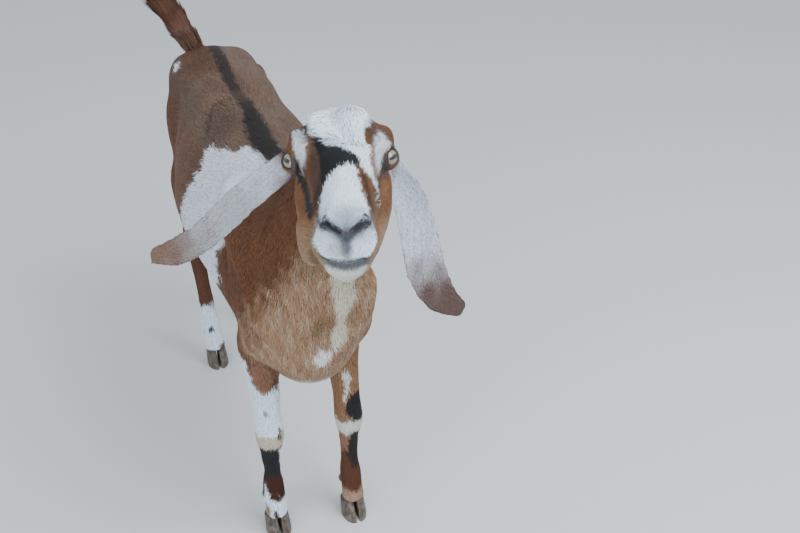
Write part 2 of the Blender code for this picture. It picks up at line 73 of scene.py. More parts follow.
FLESH = ("head", "neck", "trunk", "tail", "foreleg_left", "foreleg_right",
         "hindleg_left", "hindleg_right", "ear_left", "ear_right")

# %% [markdown]
# ## Places on the animal
# Two frames make every later number readable. The body's middle plane runs through
# the trunk. The head has its own frame, with its origin between the eyes, x to her
# left, y towards the nape and z to the crown. The head's is read from the eyes' boxes.

# %% Frames of the body and the head
UP = Vector((0, 0, 1))
HEAD_DROP = radians(2.6)      # her muzzle dips below level by this much
SIDES = {"left": 1.0, "right": -1.0}


def middle(node):
    """The middle of a solid's box."""
    low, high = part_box(node)
    return (low + high) / 2


eye_middles = {side: middle(f"eye_{side}") for side in SIDES}
eye_radius = (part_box("eye_left")[1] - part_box("eye_left")[0]).x / 2
head_left = (eye_middles["left"] - eye_middles["right"]).normalized()
head_back = Matrix.Rotation(HEAD_DROP, 3, head_left) @ UP.cross(head_left)
head_up = head_left.cross(head_back)
FACE_ASIDE = 0.002            # her face's middle line, to the left of the point between her eyes
face_middle = (eye_middles["left"] + eye_middles["right"]) / 2 + head_left * FACE_ASIDE
HEAD = Matrix.Translation(face_middle) @ Matrix((head_left, head_back, head_up)).transposed().to_4x4()
print("head looks", round(degrees(atan2(-head_back.x, head_back.y)), 1), "degrees off the body's line")

# %% [markdown]
# ## Camera, floor and light
# She is seen by someone standing a little over a metre in front of her nose and looking
# down, so the camera hangs from the point between her eyes. That keeps the view
# tied to the animal. A normal lens this near makes the head large and the feet small.

# %% Place the camera
VIEW_FROM_EYES = Vector((-0.314, -1.001, 0.557))
VIEW_TURN = radians(21.3)     # to the right of straight ahead
VIEW_DOWN = radians(34.4)
VIEW_ROLL = radians(-0.2)
LENS = 42.79

camera_data = bpy.data.cameras.new("camera")
camera_data.lens = LENS
camera_data.sensor_width = 36.0
camera_data.clip_start = 0.05
camera = bpy.data.objects.new("camera", camera_data)
bpy.context.scene.collection.objects.link(camera)
camera.matrix_world = (
    Matrix.Translation(HEAD.translation + VIEW_FROM_EYES)
    @ Matrix.Rotation(-VIEW_TURN, 4, "Z")
    @ Matrix.Rotation(pi / 2 - VIEW_DOWN, 4, "X")
    @ Matrix.Rotation(VIEW_ROLL, 4, "Z")
)
bpy.context.scene.camera = camera
print("camera at", [round(c, 3) for c in camera.location], "lens", LENS, "mm")

# %% [markdown]
# The studio is plain: a pale floor, a pale sky all round, one broad lamp high on her
# left and a weaker one low on her right. Broad light is kind to fur, because small
# lamps turn every lock into a spark.

# %% Light the studio
def area_lamp(name, place, aim, size, power, colour=(1.0, 1.0, 1.0)):
    """A square soft lamp at a place, turned towards an aim."""
    data = bpy.data.lights.new(name, "AREA")
    data.size, data.energy, data.color = size, power, colour
    lamp = bpy.data.objects.new(name, data)
    lamp.location = place
    lamp.rotation_euler = (Vector(aim) - Vector(place)).to_track_quat("-Z", "Y").to_euler()
    bpy.context.scene.collection.objects.link(lamp)


def painted(name, roughness, **constants):
    """A new material, its tree and its Principled shader."""
    material = bpy.data.materials.new(name)
    material.use_nodes = True
    shader = material.node_tree.nodes["Principled BSDF"]
    shader.inputs["Roughness"].default_value = roughness
    for key, value in constants.items():
        shader.inputs[key.replace("_", " ")].default_value = value
    return material, material.node_tree, shader


bpy.ops.mesh.primitive_plane_add(size=14.0)
floor = bpy.context.object
floor.name = "floor"
floor.data.materials.append(painted("floor paint", 0.9, Base_Color=(0.62, 0.63, 0.64, 1.0))[0])
world = bpy.data.worlds.new("studio")
world.use_nodes = True
world.node_tree.nodes["Background"].inputs["Color"].default_value = (0.83, 0.91, 1.0, 1.0)
world.node_tree.nodes["Background"].inputs["Strength"].default_value = 1.0
bpy.context.scene.world = world
area_lamp("key", (1.2, -1.6, 3.0), (0.0, 0.0, 0.6), 2.2, 110.0)
area_lamp("fill", (-2.2, -2.2, 1.4), (0.0, 0.0, 0.4), 2.5, 55.0)

# %% [markdown]
# ## One skin
# The solids are parted where a person names the parts. A real animal has one skin, so
# copies of them are swollen by a hair until they overlap and melted together with a
# Remesh modifier. The head and ears need fine mesh and the body doesn't, so they are
# melted apart, cut at a collar on the neck, and the two rims are bridged.

# %% Helpers for bpy.ops
def only(*objects):
    """Select these objects and nothing else."""
    bpy.ops.object.select_all(action="DESELECT")
    for item in objects:
        item.select_set(True)
    bpy.context.view_layer.objects.active = objects[0]


def apply_modifier(item, kind, **settings):
    """Add one modifier with its settings and carry it out."""
    only(item)
    bpy.ops.object.modifier_add(type=kind)
    modifier = item.modifiers[-1]
    for key, value in settings.items():
        setattr(modifier, key, value)
    bpy.ops.object.modifier_apply(modifier=modifier.name)


def edit(item, *steps, chosen=None, kind="VERT"):
    """Carry out edit-mode steps on all of an object, or on its chosen vertices or faces."""
    only(item)
    bpy.ops.object.mode_set(mode="EDIT")
    bpy.ops.mesh.select_mode(type=kind)
    bpy.ops.mesh.select_all(action="SELECT" if chosen is None else "DESELECT")
    if chosen is not None:
        bpy.ops.object.mode_set(mode="OBJECT")
        (item.data.vertices if kind == "VERT" else item.data.polygons).foreach_set("select", chosen)
        bpy.ops.object.mode_set(mode="EDIT")
    for step, settings in steps:
        step(**settings)
    bpy.ops.object.mode_set(mode="OBJECT")


def merged_copy(node):
    """A copy of a solid whose loose triangles are joined at their corners."""
    twin = frame["nodes"][node].copy()
    twin.data = twin.data.copy()
    twin.parent = None
    bpy.context.scene.collection.objects.link(twin)
    edit(twin, (bpy.ops.mesh.remove_doubles, {"threshold": 0.00001}))
    return twin


def read(parts, field, width, kind=np.float32):
    """One field of all vertices, edges, faces or corners of a mesh, as rows of this width."""
    found = np.empty(len(parts) * width, kind)
    parts.foreach_get(field, found)
    return found.reshape(-1, width) if width > 1 else found


def store(item, name, kind, rows):
    """Keep values at an object's vertices as an attribute. Colours get an alpha of 1."""
    field = {"FLOAT": "value", "FLOAT_VECTOR": "vector", "FLOAT_COLOR": "color"}[kind]
    if field == "color":
        rows = np.column_stack([rows, np.ones(len(rows))])
    layer = item.data.attributes.new(name, kind, "POINT")
    layer.data.foreach_set(field, rows.astype(np.float32).ravel())


def places(item):
    """The object's vertices as rows of x, y, z."""
    return read(item.data.vertices, "co", 3).astype(float)


def put(item, points):
    """Move the object's vertices to these rows."""
    item.data.vertices.foreach_set("co", np.asarray(points, np.float32).ravel())
    item.data.update()


def normals_of(item):
    """The normals of the object's vertices."""
    return read(item.data.vertex_normals, "vector", 3).astype(float)


def edges_of(item):
    """The two ends of each edge."""
    return read(item.data.edges, "vertices", 2, np.int32)


print("object helpers ready")


# %% Helpers for rows of numbers
def span(values):
    """The least and the greatest of some lengths, in words."""
    return f"{values.min() * 1000:.1f} to {values.max() * 1000:.1f} mm"


def unit(vectors):
    """Vectors made one long."""
    return vectors / np.maximum(np.linalg.norm(vectors, axis=1), 1e-9)[:, None]


def ramp(value, low, high):
    """0 below low, 1 above high and a smooth rise between. It falls where high is below low."""
    t = np.clip((np.asarray(value, float) - low) / (high - low), 0.0, 1.0)
    return t * t * (3 - 2 * t)


def spread(values, edges, rounds):
    """Average each vertex's values with its neighbours', this many times."""
    values = np.array(values, float).reshape(len(values), -1)
    count = np.bincount(edges.ravel(), minlength=len(values))[:, None] + 1.0
    for _ in range(rounds):
        total = values.copy()
        for column in range(values.shape[1]):
            total[:, column] += np.bincount(edges[:, 0], values[edges[:, 1], column], len(values))
            total[:, column] += np.bincount(edges[:, 1], values[edges[:, 0], column], len(values))
        values = total / count
    return values


def fair(points, edges, rounds, share=0.55, back=-0.57):
    """Smooth out small facets and keep the volume: each shrinking step is undone by a swelling one."""
    share = np.reshape(share, (-1, 1)) if np.ndim(share) else share
    for _ in range(rounds):
        points = points + share * (spread(points, edges, 1) - points)
        points = points + (back / 0.55) * share * (spread(points, edges, 1) - points)
    return points


print("number helpers ready")

# %% [markdown]
# The tail solid holds its fringe of hair too. Only its core is flesh, so its copy is
# drawn in towards its middle line. A middle line is read from a solid by slicing it
# across one direction that it always runs along.

# %% Middle lines of tail and ears
def middle_line(node, direction, slices=12):
    """Points along a long solid from its root, found by slicing it along a direction."""
    points = np.array([vertex.co for vertex in frame["nodes"][node].data.vertices], float)
    reach = points @ np.asarray(direction, float)
    steps = np.linspace(reach.min(), reach.max(), slices + 1)
    line = []
    for low, high in zip(steps, steps[1:]):
        inside = (reach >= low) & (reach <= high)
        if inside.any():
            line.append(points[inside].mean(0))
    line = np.array(line)
    line[1:-1] = (line[:-2] + 2 * line[1:-1] + line[2:]) / 4
    return line


def along(line, points):
    """For each point: its nearest place's share of the line, that place and the heading there."""
    starts, runs = line[:-1], np.diff(line, axis=0)
    lengths = np.linalg.norm(runs, axis=1)
    travelled = np.concatenate([[0.0], np.cumsum(lengths)])
    best = np.full(len(points), np.inf)
    share = np.zeros(len(points))
    nearest = np.zeros((len(points), 3))
    heading = np.zeros((len(points), 3))
    for index in range(len(starts)):
        t = np.clip((points - starts[index]) @ runs[index] / lengths[index] ** 2, 0, 1)
        place = starts[index] + t[:, None] * runs[index]
        distance = np.linalg.norm(points - place, axis=1)
        closer = distance < best
        best[closer] = distance[closer]
        share[closer] = (travelled[index] + t[closer] * lengths[index]) / travelled[-1]
        nearest[closer] = place[closer]
        heading[closer] = runs[index] / lengths[index]
    return share, nearest, heading


LINES = {
    "tail": middle_line("tail", (0, 0, 1)),
    "ear_left": middle_line("ear_left", (0, 0, -1)),
    "ear_right": middle_line("ear_right", (-1, 0, 0)),
}
print({name: round(float(np.linalg.norm(np.diff(line, axis=0), axis=1).sum()), 3)
       for name, line in LINES.items()}, "metres long")

# %% Melt the solids into two skins
OVERLAP = 0.0006              # how far copies are swollen to close the cuts
BODY_MESH = 0.0070
HEAD_MESH = 0.0029
DOCK_SHARE = 0.58             # the tail's flesh, as a share of its width with hair
LID_BALL = eye_radius + 0.0013
HEAD_PARTS = ("head", "ear_left", "ear_right")


def melted(parts, name, mesh_size):
    """One closed skin round overlapping parts."""
    only(*parts)
    bpy.ops.object.join()
    skin = bpy.context.object
    skin.name = name
    apply_modifier(skin, "DISPLACE", strength=OVERLAP, mid_level=0.0)
    apply_modifier(skin, "REMESH", mode="VOXEL", voxel_size=mesh_size)
    heights = places(skin)[:, 2]
    topmost = np.arange(len(heights)) == heights.argmax()
    edit(skin, (bpy.ops.mesh.select_linked, {}), (bpy.ops.mesh.select_all, {"action": "INVERT"}),
         (bpy.ops.mesh.delete, {"type": "VERT"}), chosen=topmost)
    return skin


dock = merged_copy("tail")
points = places(dock)
share, centre, _ = along(LINES["tail"], points)
put(dock, centre + (points - centre) * DOCK_SHARE)
body_parts = [merged_copy(node) for node in FLESH if node not in ("tail", *HEAD_PARTS)]
body_skin = melted(body_parts + [dock], "body skin", BODY_MESH)

lid_balls = []
for side in SIDES:
    bpy.ops.mesh.primitive_uv_sphere_add(
        segments=32, ring_count=16, radius=LID_BALL, location=eye_middles[side])
    lid_balls.append(bpy.context.object)
    bpy.ops.object.transform_apply(location=True)
head_parts = [merged_copy(node) for node in ("neck", *HEAD_PARTS)]
head_skin = melted(head_parts + lid_balls, "head skin", HEAD_MESH)
print("body skin:", len(body_skin.data.polygons), "faces, head skin:", len(head_skin.data.polygons))

# %% Cut both at a collar
COLLAR_PLACE = Vector((0.055, -0.291, 0.868))
COLLAR_AXIS = Vector((0.05, -0.59, 0.81)).normalized()
COLLAR_GAP = 0.006
COLLAR_REACH = 0.105          # only skin this near the neck's axis is cut


def nearest_part(points):
    """The index in FLESH of the solid nearest to each point."""
    corners = [(index, vertex.co) for index, node in enumerate(FLESH)
               for vertex in frame["nodes"][node].data.vertices]
    tree = KDTree(len(corners))
    for index, (_, place) in enumerate(corners):
        tree.insert(place, index)
    tree.balance()
    return np.array([corners[tree.find(point)[1]][0] for point in points])


def cut_off(skin, offset, towards_head):
    """Remove the skin on one side of the collar's plane, near the neck only."""
    plane = COLLAR_PLACE + COLLAR_AXIS * offset
    points = places(skin)
    away, axis = points - np.array(plane), np.array(COLLAR_AXIS)
    rise = away @ axis
    aside = away - rise[:, None] * axis
    near = (np.linalg.norm(aside, axis=1) < COLLAR_REACH) & (np.abs(rise) < COLLAR_REACH / 2)
    if towards_head:
        near |= rise > 0
    else:
        near |= (rise < 0) & ~np.isin(nearest_part(points), [FLESH.index(n) for n in HEAD_PARTS])
    edit(skin, (bpy.ops.mesh.select_mode, {"type": "FACE"}),
         (bpy.ops.mesh.bisect, {"plane_co": plane, "plane_no": COLLAR_AXIS, "clear_outer": towards_head,
                                "clear_inner": not towards_head}), chosen=near)


cut_off(body_skin, -COLLAR_GAP / 2, True)
cut_off(head_skin, COLLAR_GAP / 2, False)
only(body_skin, head_skin)
bpy.ops.object.join()
skin = bpy.context.object
skin.name = "skin"
print("both skins after the cut:", len(skin.data.polygons), "faces")


# %% Bridge the two rims
def bridge_by_angle(item):
    """Join two open rims round the collar with triangles, keeping step by the angle round its axis."""
    sheet = bmesh.new()
    sheet.from_mesh(item.data)
    rim = [vertex for vertex in sheet.verts if vertex.is_boundary]
    east = COLLAR_AXIS.orthogonal().normalized()
    north = COLLAR_AXIS.cross(east)
    rims = []
    for upper in (False, True):
        ring = [v for v in rim if ((v.co - COLLAR_PLACE).dot(COLLAR_AXIS) > 0) == upper]
        hub = sum((v.co for v in ring), Vector()) / len(ring)
        turns = [(atan2((v.co - hub).dot(north), (v.co - hub).dot(east)), v) for v in ring]
        rims.append(sorted(turns, key=lambda pair: pair[0]))

    def turn_of(ring, step):
        """The angle of a rim's vertex, and a full turn more for the first one met again."""
        return ring[step][0] if step < len(ring) else ring[0][0] + 2 * pi if step == len(ring) else 99

    low, high = rims
    i = j = 0
    while i < len(low) or j < len(high):
        here, there = low[i % len(low)][1], high[j % len(high)][1]
        if turn_of(low, i + 1) < turn_of(high, j + 1):
            i += 1
            sheet.faces.new((here, low[i % len(low)][1], there))
        else:
            j += 1
            sheet.faces.new((here, high[j % len(high)][1], there))
    bmesh.ops.recalc_face_normals(sheet, faces=sheet.faces)
    sheet.to_mesh(item.data)
    sheet.free()
    print("bridged rims of", len(low), "and", len(high), "vertices")


bridge_by_angle(skin)
check = bmesh.new()
check.from_mesh(skin.data)
print("skin:", len(skin.data.polygons), "faces, open edges:", sum(e.is_boundary for e in check.edges),
      "volume", round(check.calc_volume(), 4))
check.free()

# %% [markdown]
# ## From facets to flesh
# The melted skin still shows the flat facets of the solids. Plain smoothing would wear
# away the thin legs, so each shrinking step is followed by a slightly larger swelling
# step, which takes out small bumps and leaves the volume. The nose, mouth and eyes get
# a finer mesh before their turn comes.

# %% Know each vertex's part
def part_shares(points):
    """1 for the solid of flesh that each vertex belongs to and 0 for the others."""
    shares = np.zeros((len(points), len(FLESH)))
    shares[np.arange(len(points)), nearest_part(points)] = 1.0
    return shares


def in_head(points):
    """World places turned into the head's own frame."""
    turn = np.array(HEAD.to_3x3())
    return (np.asarray(points) - np.array(HEAD.translation)) @ turn


def from_head(vectors):
    """Directions in the head's frame turned into world directions."""
    return np.asarray(vectors, float) @ np.array(HEAD.to_3x3()).T


BODY_ROUNDS, SPLIT_ROUNDS, HORN_ROUNDS = 120, 30, 14     # how often each mesh is faired
points, edges = places(skin), edges_of(skin)
points = fair(points, edges, BODY_ROUNDS)
put(skin, points)
print("faired", len(points), "vertices")


# %% Helpers for sculpting
def snapped(line, points, steps=8):
    """A finer copy of a line of places, each moved to the nearest vertex and then evened out."""
    line = np.asarray(line, float)
    t = np.linspace(0, len(line) - 1, (len(line) - 1) * steps + 1)
    fine = np.stack([np.interp(t, np.arange(len(line)), line[:, k]) for k in range(3)], axis=1)
    fine = np.array([points[np.argmin(((points - place) ** 2).sum(1))] for place in fine])
    for _ in range(3):
        fine[1:-1] = (fine[:-2] + 2 * fine[1:-1] + fine[2:]) / 4
    return fine


def off_line(line, points):
    """Distance of each point from a line and how far along the line it lies."""
    share, nearest, _ = along(line, points)
    return np.linalg.norm(points - nearest, axis=1), share


def bell(distance, width):
    """1 at no distance, falling smoothly to nothing at about twice the width."""
    return np.exp(-(distance / width) ** 2)


def mirrored(line):
    """The same line on her right side."""
    return np.asarray(line, float) * (-1, 1, 1)


def mm(*rows):
    """Places given in millimetres."""
    return np.array(rows, float) / 1000


def both(line):
    """A line on her left side and the same line on her right."""
    return np.asarray(line, float), mirrored(line)


def dabs(points, marks):
    """The sum of soft round pushes, each a place, a width and a height."""
    total = np.zeros(len(points))
    for place, width, height in marks:
        total += height * bell(np.linalg.norm(points - np.asarray(place), axis=1), width)
    return total


print("sculpting helpers ready")


# %% Give nose, mouth and eyes a finer mesh
# Lines on the face run down her left side, in the head's frame.
NOSTRIL = mm((26.5, -143, 10.5), (22.5, -148, 7.5), (16, -152, 4), (8.5, -155, 0))
MOUTH = mm((0, -154, -42), (10, -153, -40.5), (20, -148, -36), (27, -138, -31.5), (32, -126, -28.5),
           (36, -113, -26.5))
EYE_LOOKS = {"left": Vector((0.60, -0.60, 0.50)).normalized(),     # in the head's frame
             "right": Vector((-0.70, -0.51, 0.49)).normalized()}


def eye_axes(side):
    """The way an eye looks, the level line towards its back corner and the line to its upper lid."""
    looks = EYE_LOOKS[side]
    level = (Vector((0, 1, 0)) - looks * looks.y).normalized()
    upper = looks.cross(level) * SIDES[side]
    turn = HEAD.to_3x3()
    return [np.array(turn @ axis) for axis in (looks, level, upper)]


def split_faces(chosen):
    """Cut each chosen face of the skin in four."""
    edit(skin, (bpy.ops.mesh.subdivide, {"number_cuts": 1}), chosen=chosen, kind="FACE")


def face_middles():
    """The middle of each face of the skin."""
    return read(skin.data.polygons, "center", 3).astype(float)


def by_an_eye(points, reach, widest):
    """True for points near an eyeball's middle and less than the widest angle from its gaze."""
    near = np.zeros(len(points), bool)
    for side in SIDES:
        away = points - np.array(eye_middles[side])
        distance = np.linalg.norm(away, axis=1)
        near |= (distance < reach) & (away @ eye_axes(side)[0] > cos(widest) * distance)
    return near


before = len(skin.data.polygons)
spots = face_middles()
across, back, up = in_head(spots).T
muzzle = (back < -0.112) & (up > -0.10) & (np.abs(across) < 0.06)
split_faces(muzzle | by_an_eye(spots, 0.027, radians(85)))
split_faces(by_an_eye(face_middles(), 0.023, radians(80)))
local = in_head(face_middles())
beside = np.zeros(len(local), bool)
for line in (*both(NOSTRIL), *both(MOUTH)):
    beside |= off_line(snapped(line, local), local)[0] < 0.0055
split_faces(beside)
print("split faces:", before, "to", len(skin.data.polygons))
points, edges = places(skin), edges_of(skin)
points = fair(points, edges, SPLIT_ROUNDS)
put(skin, points)
shares = spread(part_shares(points), edges, 14)
print({name: int(shares[:, index].sum()) for index, name in enumerate(FLESH)})

# %% [markdown]
# A goat's nose has two slanting nostrils that meet in a groove, a cleft upper lip and
# a mouth that runs far back along the cheek. Each is a line laid on the skin. Skin
# near a line is pushed in or out along its own normals, less and less with distance.

# %% Sculpt nose and mouth
points, normals = places(skin), normals_of(skin)
local = in_head(points)
push = dabs(local, [  # place, width, height
    ((0, -0.150, -0.064), 0.015, 0.0012),        # chin
    ((0.019, -0.140, -0.060), 0.013, 0.0032),
    ((-0.019, -0.140, -0.060), 0.013, 0.0032),
    ((0, -0.156, 0.006), 0.011, 0.0018),         # nose pad
    ((0.021, -0.146, -0.020), 0.012, 0.0022),    # the two halves of the upper lip
    ((-0.021, -0.146, -0.020), 0.012, 0.0022),
    ((0, -0.150, -0.050), 0.009, 0.0012),        # lower lip
    ((0, -0.152, -0.058), 0.006, -0.0010),       # fold over the chin
    ((0, -0.092, -0.062), 0.016, 0.0035),        # evens the line from chin to jaw
])
mouth = snapped(np.vstack([mirrored(MOUTH)[::-1], MOUTH[1:]]), local)
distance, share = off_line(mouth, local)
fade = ramp(np.abs(share - 0.5), 0.52, 0.36)       # the groove runs out at the corners
push += fade * (-0.0030 * bell(distance, 0.0010) + 0.0007 * bell(distance - 0.0032, 0.0018))
cleft = snapped(mm((0, -156, -2), (0, -155, -15), (0, -153, -30), (0, -152, -40)), local)
push -= 0.0013 * bell(off_line(cleft, local)[0], 0.0011)
moved = normals * push[:, None]
for line in both(NOSTRIL):
    pit = snapped(line, local)
    distance, share = off_line(pit, local)
    width = 0.0044 - 0.0020 * share                # broad at its outer end, narrow at the middle
    depth = 0.0095 - 0.0045 * share
    inward = from_head([-0.35 * np.sign(line[0][0]), 0.85, -0.25])
    moved += inward * (depth * np.exp(-(distance / width) ** 4))[:, None]
    wing, _ = off_line(pit + (0.0018 * np.sign(line[0][0]), 0.002, 0.0062), local)
    moved += normals * (0.0009 * bell(wing, 0.0030))[:, None]
put(skin, points + moved)
print("nose and mouth pushed by", span(moved))

# %% Sculpt the face and the neck
FACE_LINES = [  # line, width, height
    (mm((50, -20, -4), (44, -40, -9), (38, -66, -14)), 0.0045, -0.0014),                   # tear groove
    (mm((58, 4, -30), (49, -28, -30), (40, -62, -30), (36, -86, -27)), 0.0065, 0.0018),    # cheek ridge
    (mm((36, -62, -58), (40, -30, -75), (44, 4, -86), (46, 28, -78)), 0.010, 0.0018),      # jaw
    (mm((40, 0, 36), (52, 10, 34), (60, 22, 26)), 0.006, 0.0012)]                          # brow
PARTING = mm((-10, 92, 26), (-8, 60, 40), (-4, 20, 42), (2, -10, 38))  # between the crown's two lobes
WRINKLES = (                                                           # round the throat, in the world
    mm((10, -235, 835), (45, -262, 815), (85, -235, 822)),
    mm((12, -240, 795), (50, -262, 776), (92, -235, 786)),
    mm((16, -245, 752), (52, -265, 736), (94, -240, 745)))

points, normals = places(skin), normals_of(skin)
local = in_head(points)
push = np.zeros(len(points))
for line, width, height in FACE_LINES:
    for one in both(line):
        push += height * bell(off_line(snapped(one, local), local)[0], width)
push += dabs(local, [((sign * 0.038, -0.085, -0.040), 0.016, -0.0016) for sign in SIDES.values()])
push -= 0.0072 * bell(off_line(snapped(PARTING, local), local)[0], 0.0085)
push += dabs(local, [((-0.032, 0.052, 0.032), 0.017, 0.0082), ((0.018, 0.058, 0.040), 0.018, 0.0045),
                     ((0.056, 0.014, 0.034), 0.011, -0.0045)])
for line in WRINKLES:
    distance, share = off_line(snapped(line, points), points)
    push -= 0.0016 * bell(distance, 0.006) * ramp(np.abs(share - 0.5), 0.5, 0.3)
put(skin, points + normals * push[:, None])
print("face pushed by", span(push))

# %% [markdown]
# The body's forms come from what lies under the skin: the shoulder blade's spine, the
# groove behind the shoulder, ribs, the hollow of the flank in front of the hip and the
# point of the hip. They are the same on both sides of the trunk's middle plane.

# %% Sculpt the body
RIB_STEP = 0.034              # from one rib to the next
MIDDLE_X = 0.042              # where the trunk's middle plane cuts the ground's x axis
BODY_LINES = [  # line from the middle plane outwards, width, height
    (mm((75, -115, 735), (85, -135, 665), (75, -165, 605)), 0.013, 0.0030),      # shoulder blade
    (mm((88, -60, 735), (98, -65, 665), (92, -85, 590)), 0.015, -0.0045),        # groove behind it
    (mm((60, 330, 760), (83, 355, 715), (80, 400, 660)), 0.020, 0.0030),         # point of the hip
    (mm((90, 265, 715), (105, 262, 665), (104, 250, 610)), 0.030, -0.0060),      # hollow before it
    (mm((98, 300, 560), (90, 330, 500)), 0.018, -0.0020)]                        # flank under that

points, normals = places(skin), normals_of(skin)
push = np.zeros(len(points))
x, y, z = points.T
for sign in SIDES.values():
    for line, width, height in BODY_LINES:
        line = line * (sign, 1, 1) + (MIDDLE_X, 0, 0)
        push += height * bell(off_line(snapped(line, points), points)[0], width)
    ribs = np.sin((y + 0.25 * (0.66 - z)) / RIB_STEP * 2 * pi)
    belt = ramp(y, -0.03, 0.03) * ramp(y, 0.24, 0.17)
    belt *= ramp(z, 0.52, 0.58) * ramp(z, 0.74, 0.70)
    outside = ramp(sign * (x - MIDDLE_X), 0.05, 0.09)
    push += 0.0009 * ribs * belt * outside
put(skin, points + normals * push[:, None])
print("body pushed by", span(push))

# %% [markdown]
# ## Room for the coat
# The solids' outside is the outside of the coat, so the skin goes in by the coat's
# depth: six millimetres on the crown, two on the body and well under one on ears,
# lips and lids.

# %% Lower the skin by the coat's depth
COAT_DEPTH = {"head": 0.0010, "neck": 0.0026, "trunk": 0.0023, "tail": 0.0004, "foreleg": 0.0018,
              "hindleg": 0.0018, "ear": 0.0006}
CROWN_DEPTH = 0.0060
SHIN_LESS = 0.0009            # how much thinner the coat is low on the legs
MUZZLE_LESS = 0.0006


def crown_share(local):
    """1 under the long hair of the crown, 0 away from it."""
    _, y, z = local.T
    return ramp(z, 0.018, 0.034) * ramp(y, -0.045, -0.010) * ramp(y, 0.100, 0.075)


points, edges = places(skin), edges_of(skin)
local = in_head(points)
depth = shares @ np.array([COAT_DEPTH[name.split("_")[0]] for name in FLESH])
legs = shares[:, [FLESH.index(name) for name in FLESH if "leg" in name]].sum(1)
depth -= legs * SHIN_LESS * ramp(points[:, 2], 0.40, 0.24)
head_share = shares[:, FLESH.index("head")]
depth += head_share * (CROWN_DEPTH - COAT_DEPTH["head"]) * crown_share(local)
depth -= MUZZLE_LESS * ramp(local[:, 1], -0.10, -0.14) * head_share
depth = spread(depth, edges, 6)[:, 0] + OVERLAP
points = points - unit(spread(normals_of(skin), edges, 2)) * depth[:, None]
on_ears = shares[:, FLESH.index("ear_left")] + shares[:, FLESH.index("ear_right")]
points = fair(points, edges, 25, share=0.55 * np.clip(on_ears + ramp(local[:, 1], -0.09, -0.06), 0, 1))
put(skin, points)
print("coat depths", span(depth))

# %% [markdown]
# ## Eyes and lids
# A goat's eye looks sideways and a little forward. Its lids leave an almond-shaped
# opening. Skin inside the almond is tucked behind the eyeball, and skin round it is
# held just off the ball, as a lid is, with a fold above where the upper lid rolls up.

# %% Open the lids
LID_TILT = radians(14)        # the inner corner hangs lower
OPEN_WIDE, OPEN_UP, OPEN_DOWN = radians(43), radians(30), radians(27)
ALMOND = 1.9
TUCK = 0.0128                 # radius of the skin hidden behind the ball
LID_EDGE = eye_radius + 0.0011


def lid_axes(side):
    """The way an eye looks, the line across its opening and the line up it."""
    looks, level, upper = eye_axes(side)
    flat, steep = cos(LID_TILT), sin(LID_TILT)
    return looks, level * flat + upper * steep, upper * flat - level * steep


def gaze_angles(points, side):
    """Distance from an eyeball's middle and the angles across and up from where the eye looks."""
    looks, across, rising = lid_axes(side)
    away = points - np.array(eye_middles[side])
    distance = np.linalg.norm(away, axis=1)
    ahead = away @ looks
    return distance, np.arctan2(away @ across, ahead), np.arctan2(away @ rising, ahead)


def almond(across, rising):
    """Below 1 inside the opening between the lids, 1 on their edge."""
    tall = np.where(rising > 0, OPEN_UP, OPEN_DOWN)
    return (np.abs(across) / OPEN_WIDE) ** ALMOND + (np.abs(rising) / tall) ** ALMOND


def edge_aims(side, turns):
    """Directions from an eyeball's middle to the lids' edge, at these turns round the opening."""
    looks, across, rising = lid_axes(side)
    tall = np.where(np.sin(turns) > 0, OPEN_UP, OPEN_DOWN)
    wide = np.tan(OPEN_WIDE * np.sign(np.cos(turns)) * np.abs(np.cos(turns)) ** (2 / ALMOND))
    high = np.tan(tall * np.sign(np.sin(turns)) * np.abs(np.sin(turns)) ** (2 / ALMOND))
    return unit(looks + across * wide[:, None] + rising * high[:, None])


FAR = 9.0                     # the almond's value for skin that is not near an eye
points = places(skin)
opening = np.full(len(points), FAR)
for side in SIDES:
    distance, across, rising = gaze_angles(points, side)
    ring = np.where(distance < 0.024, almond(across, rising), FAR)
    opening = np.minimum(opening, ring)
    away = (points - np.array(eye_middles[side])) / np.maximum(distance, 1e-6)[:, None]
    held = np.maximum(distance, LID_EDGE + 0.0009 * ramp(ring, 1.0, 1.25))
    sideways = ramp(np.abs(across), radians(58), radians(40))
    fold = 0.0012 * bell(ring - 2.5, 0.30) * ramp(rising, 0.0, 0.3)
    held += 0.0006 * bell(ring - 1.5, 0.35) - fold * sideways
    held -= 0.0008 * bell(ring - 2.3, 0.30) * ramp(rising, -0.1, -0.4) * sideways
    held = np.where(ring < 1.0, LID_EDGE + (TUCK - LID_EDGE) * ramp(ring, 1.0, 0.72), held)
    near = ramp(ring, 4.4, 3.0) * ramp(distance, 0.0245, 0.0195)
    points += away * (near * (held - distance))[:, None]
put(skin, points)
print("skin hidden behind the eyes:", int((opening < 0.8).sum()), "vertices")

# %% [markdown]
# The eyeball is a plain sphere with the cornea's slight bulge. Each vertex keeps the
# direction in which it lies from the pupil in an attribute called gaze, so the
# material can draw the slit, the iris and its rim without any image. Goats turn their
# eyes in their sockets to keep the slit level with the ground, so it is level here.

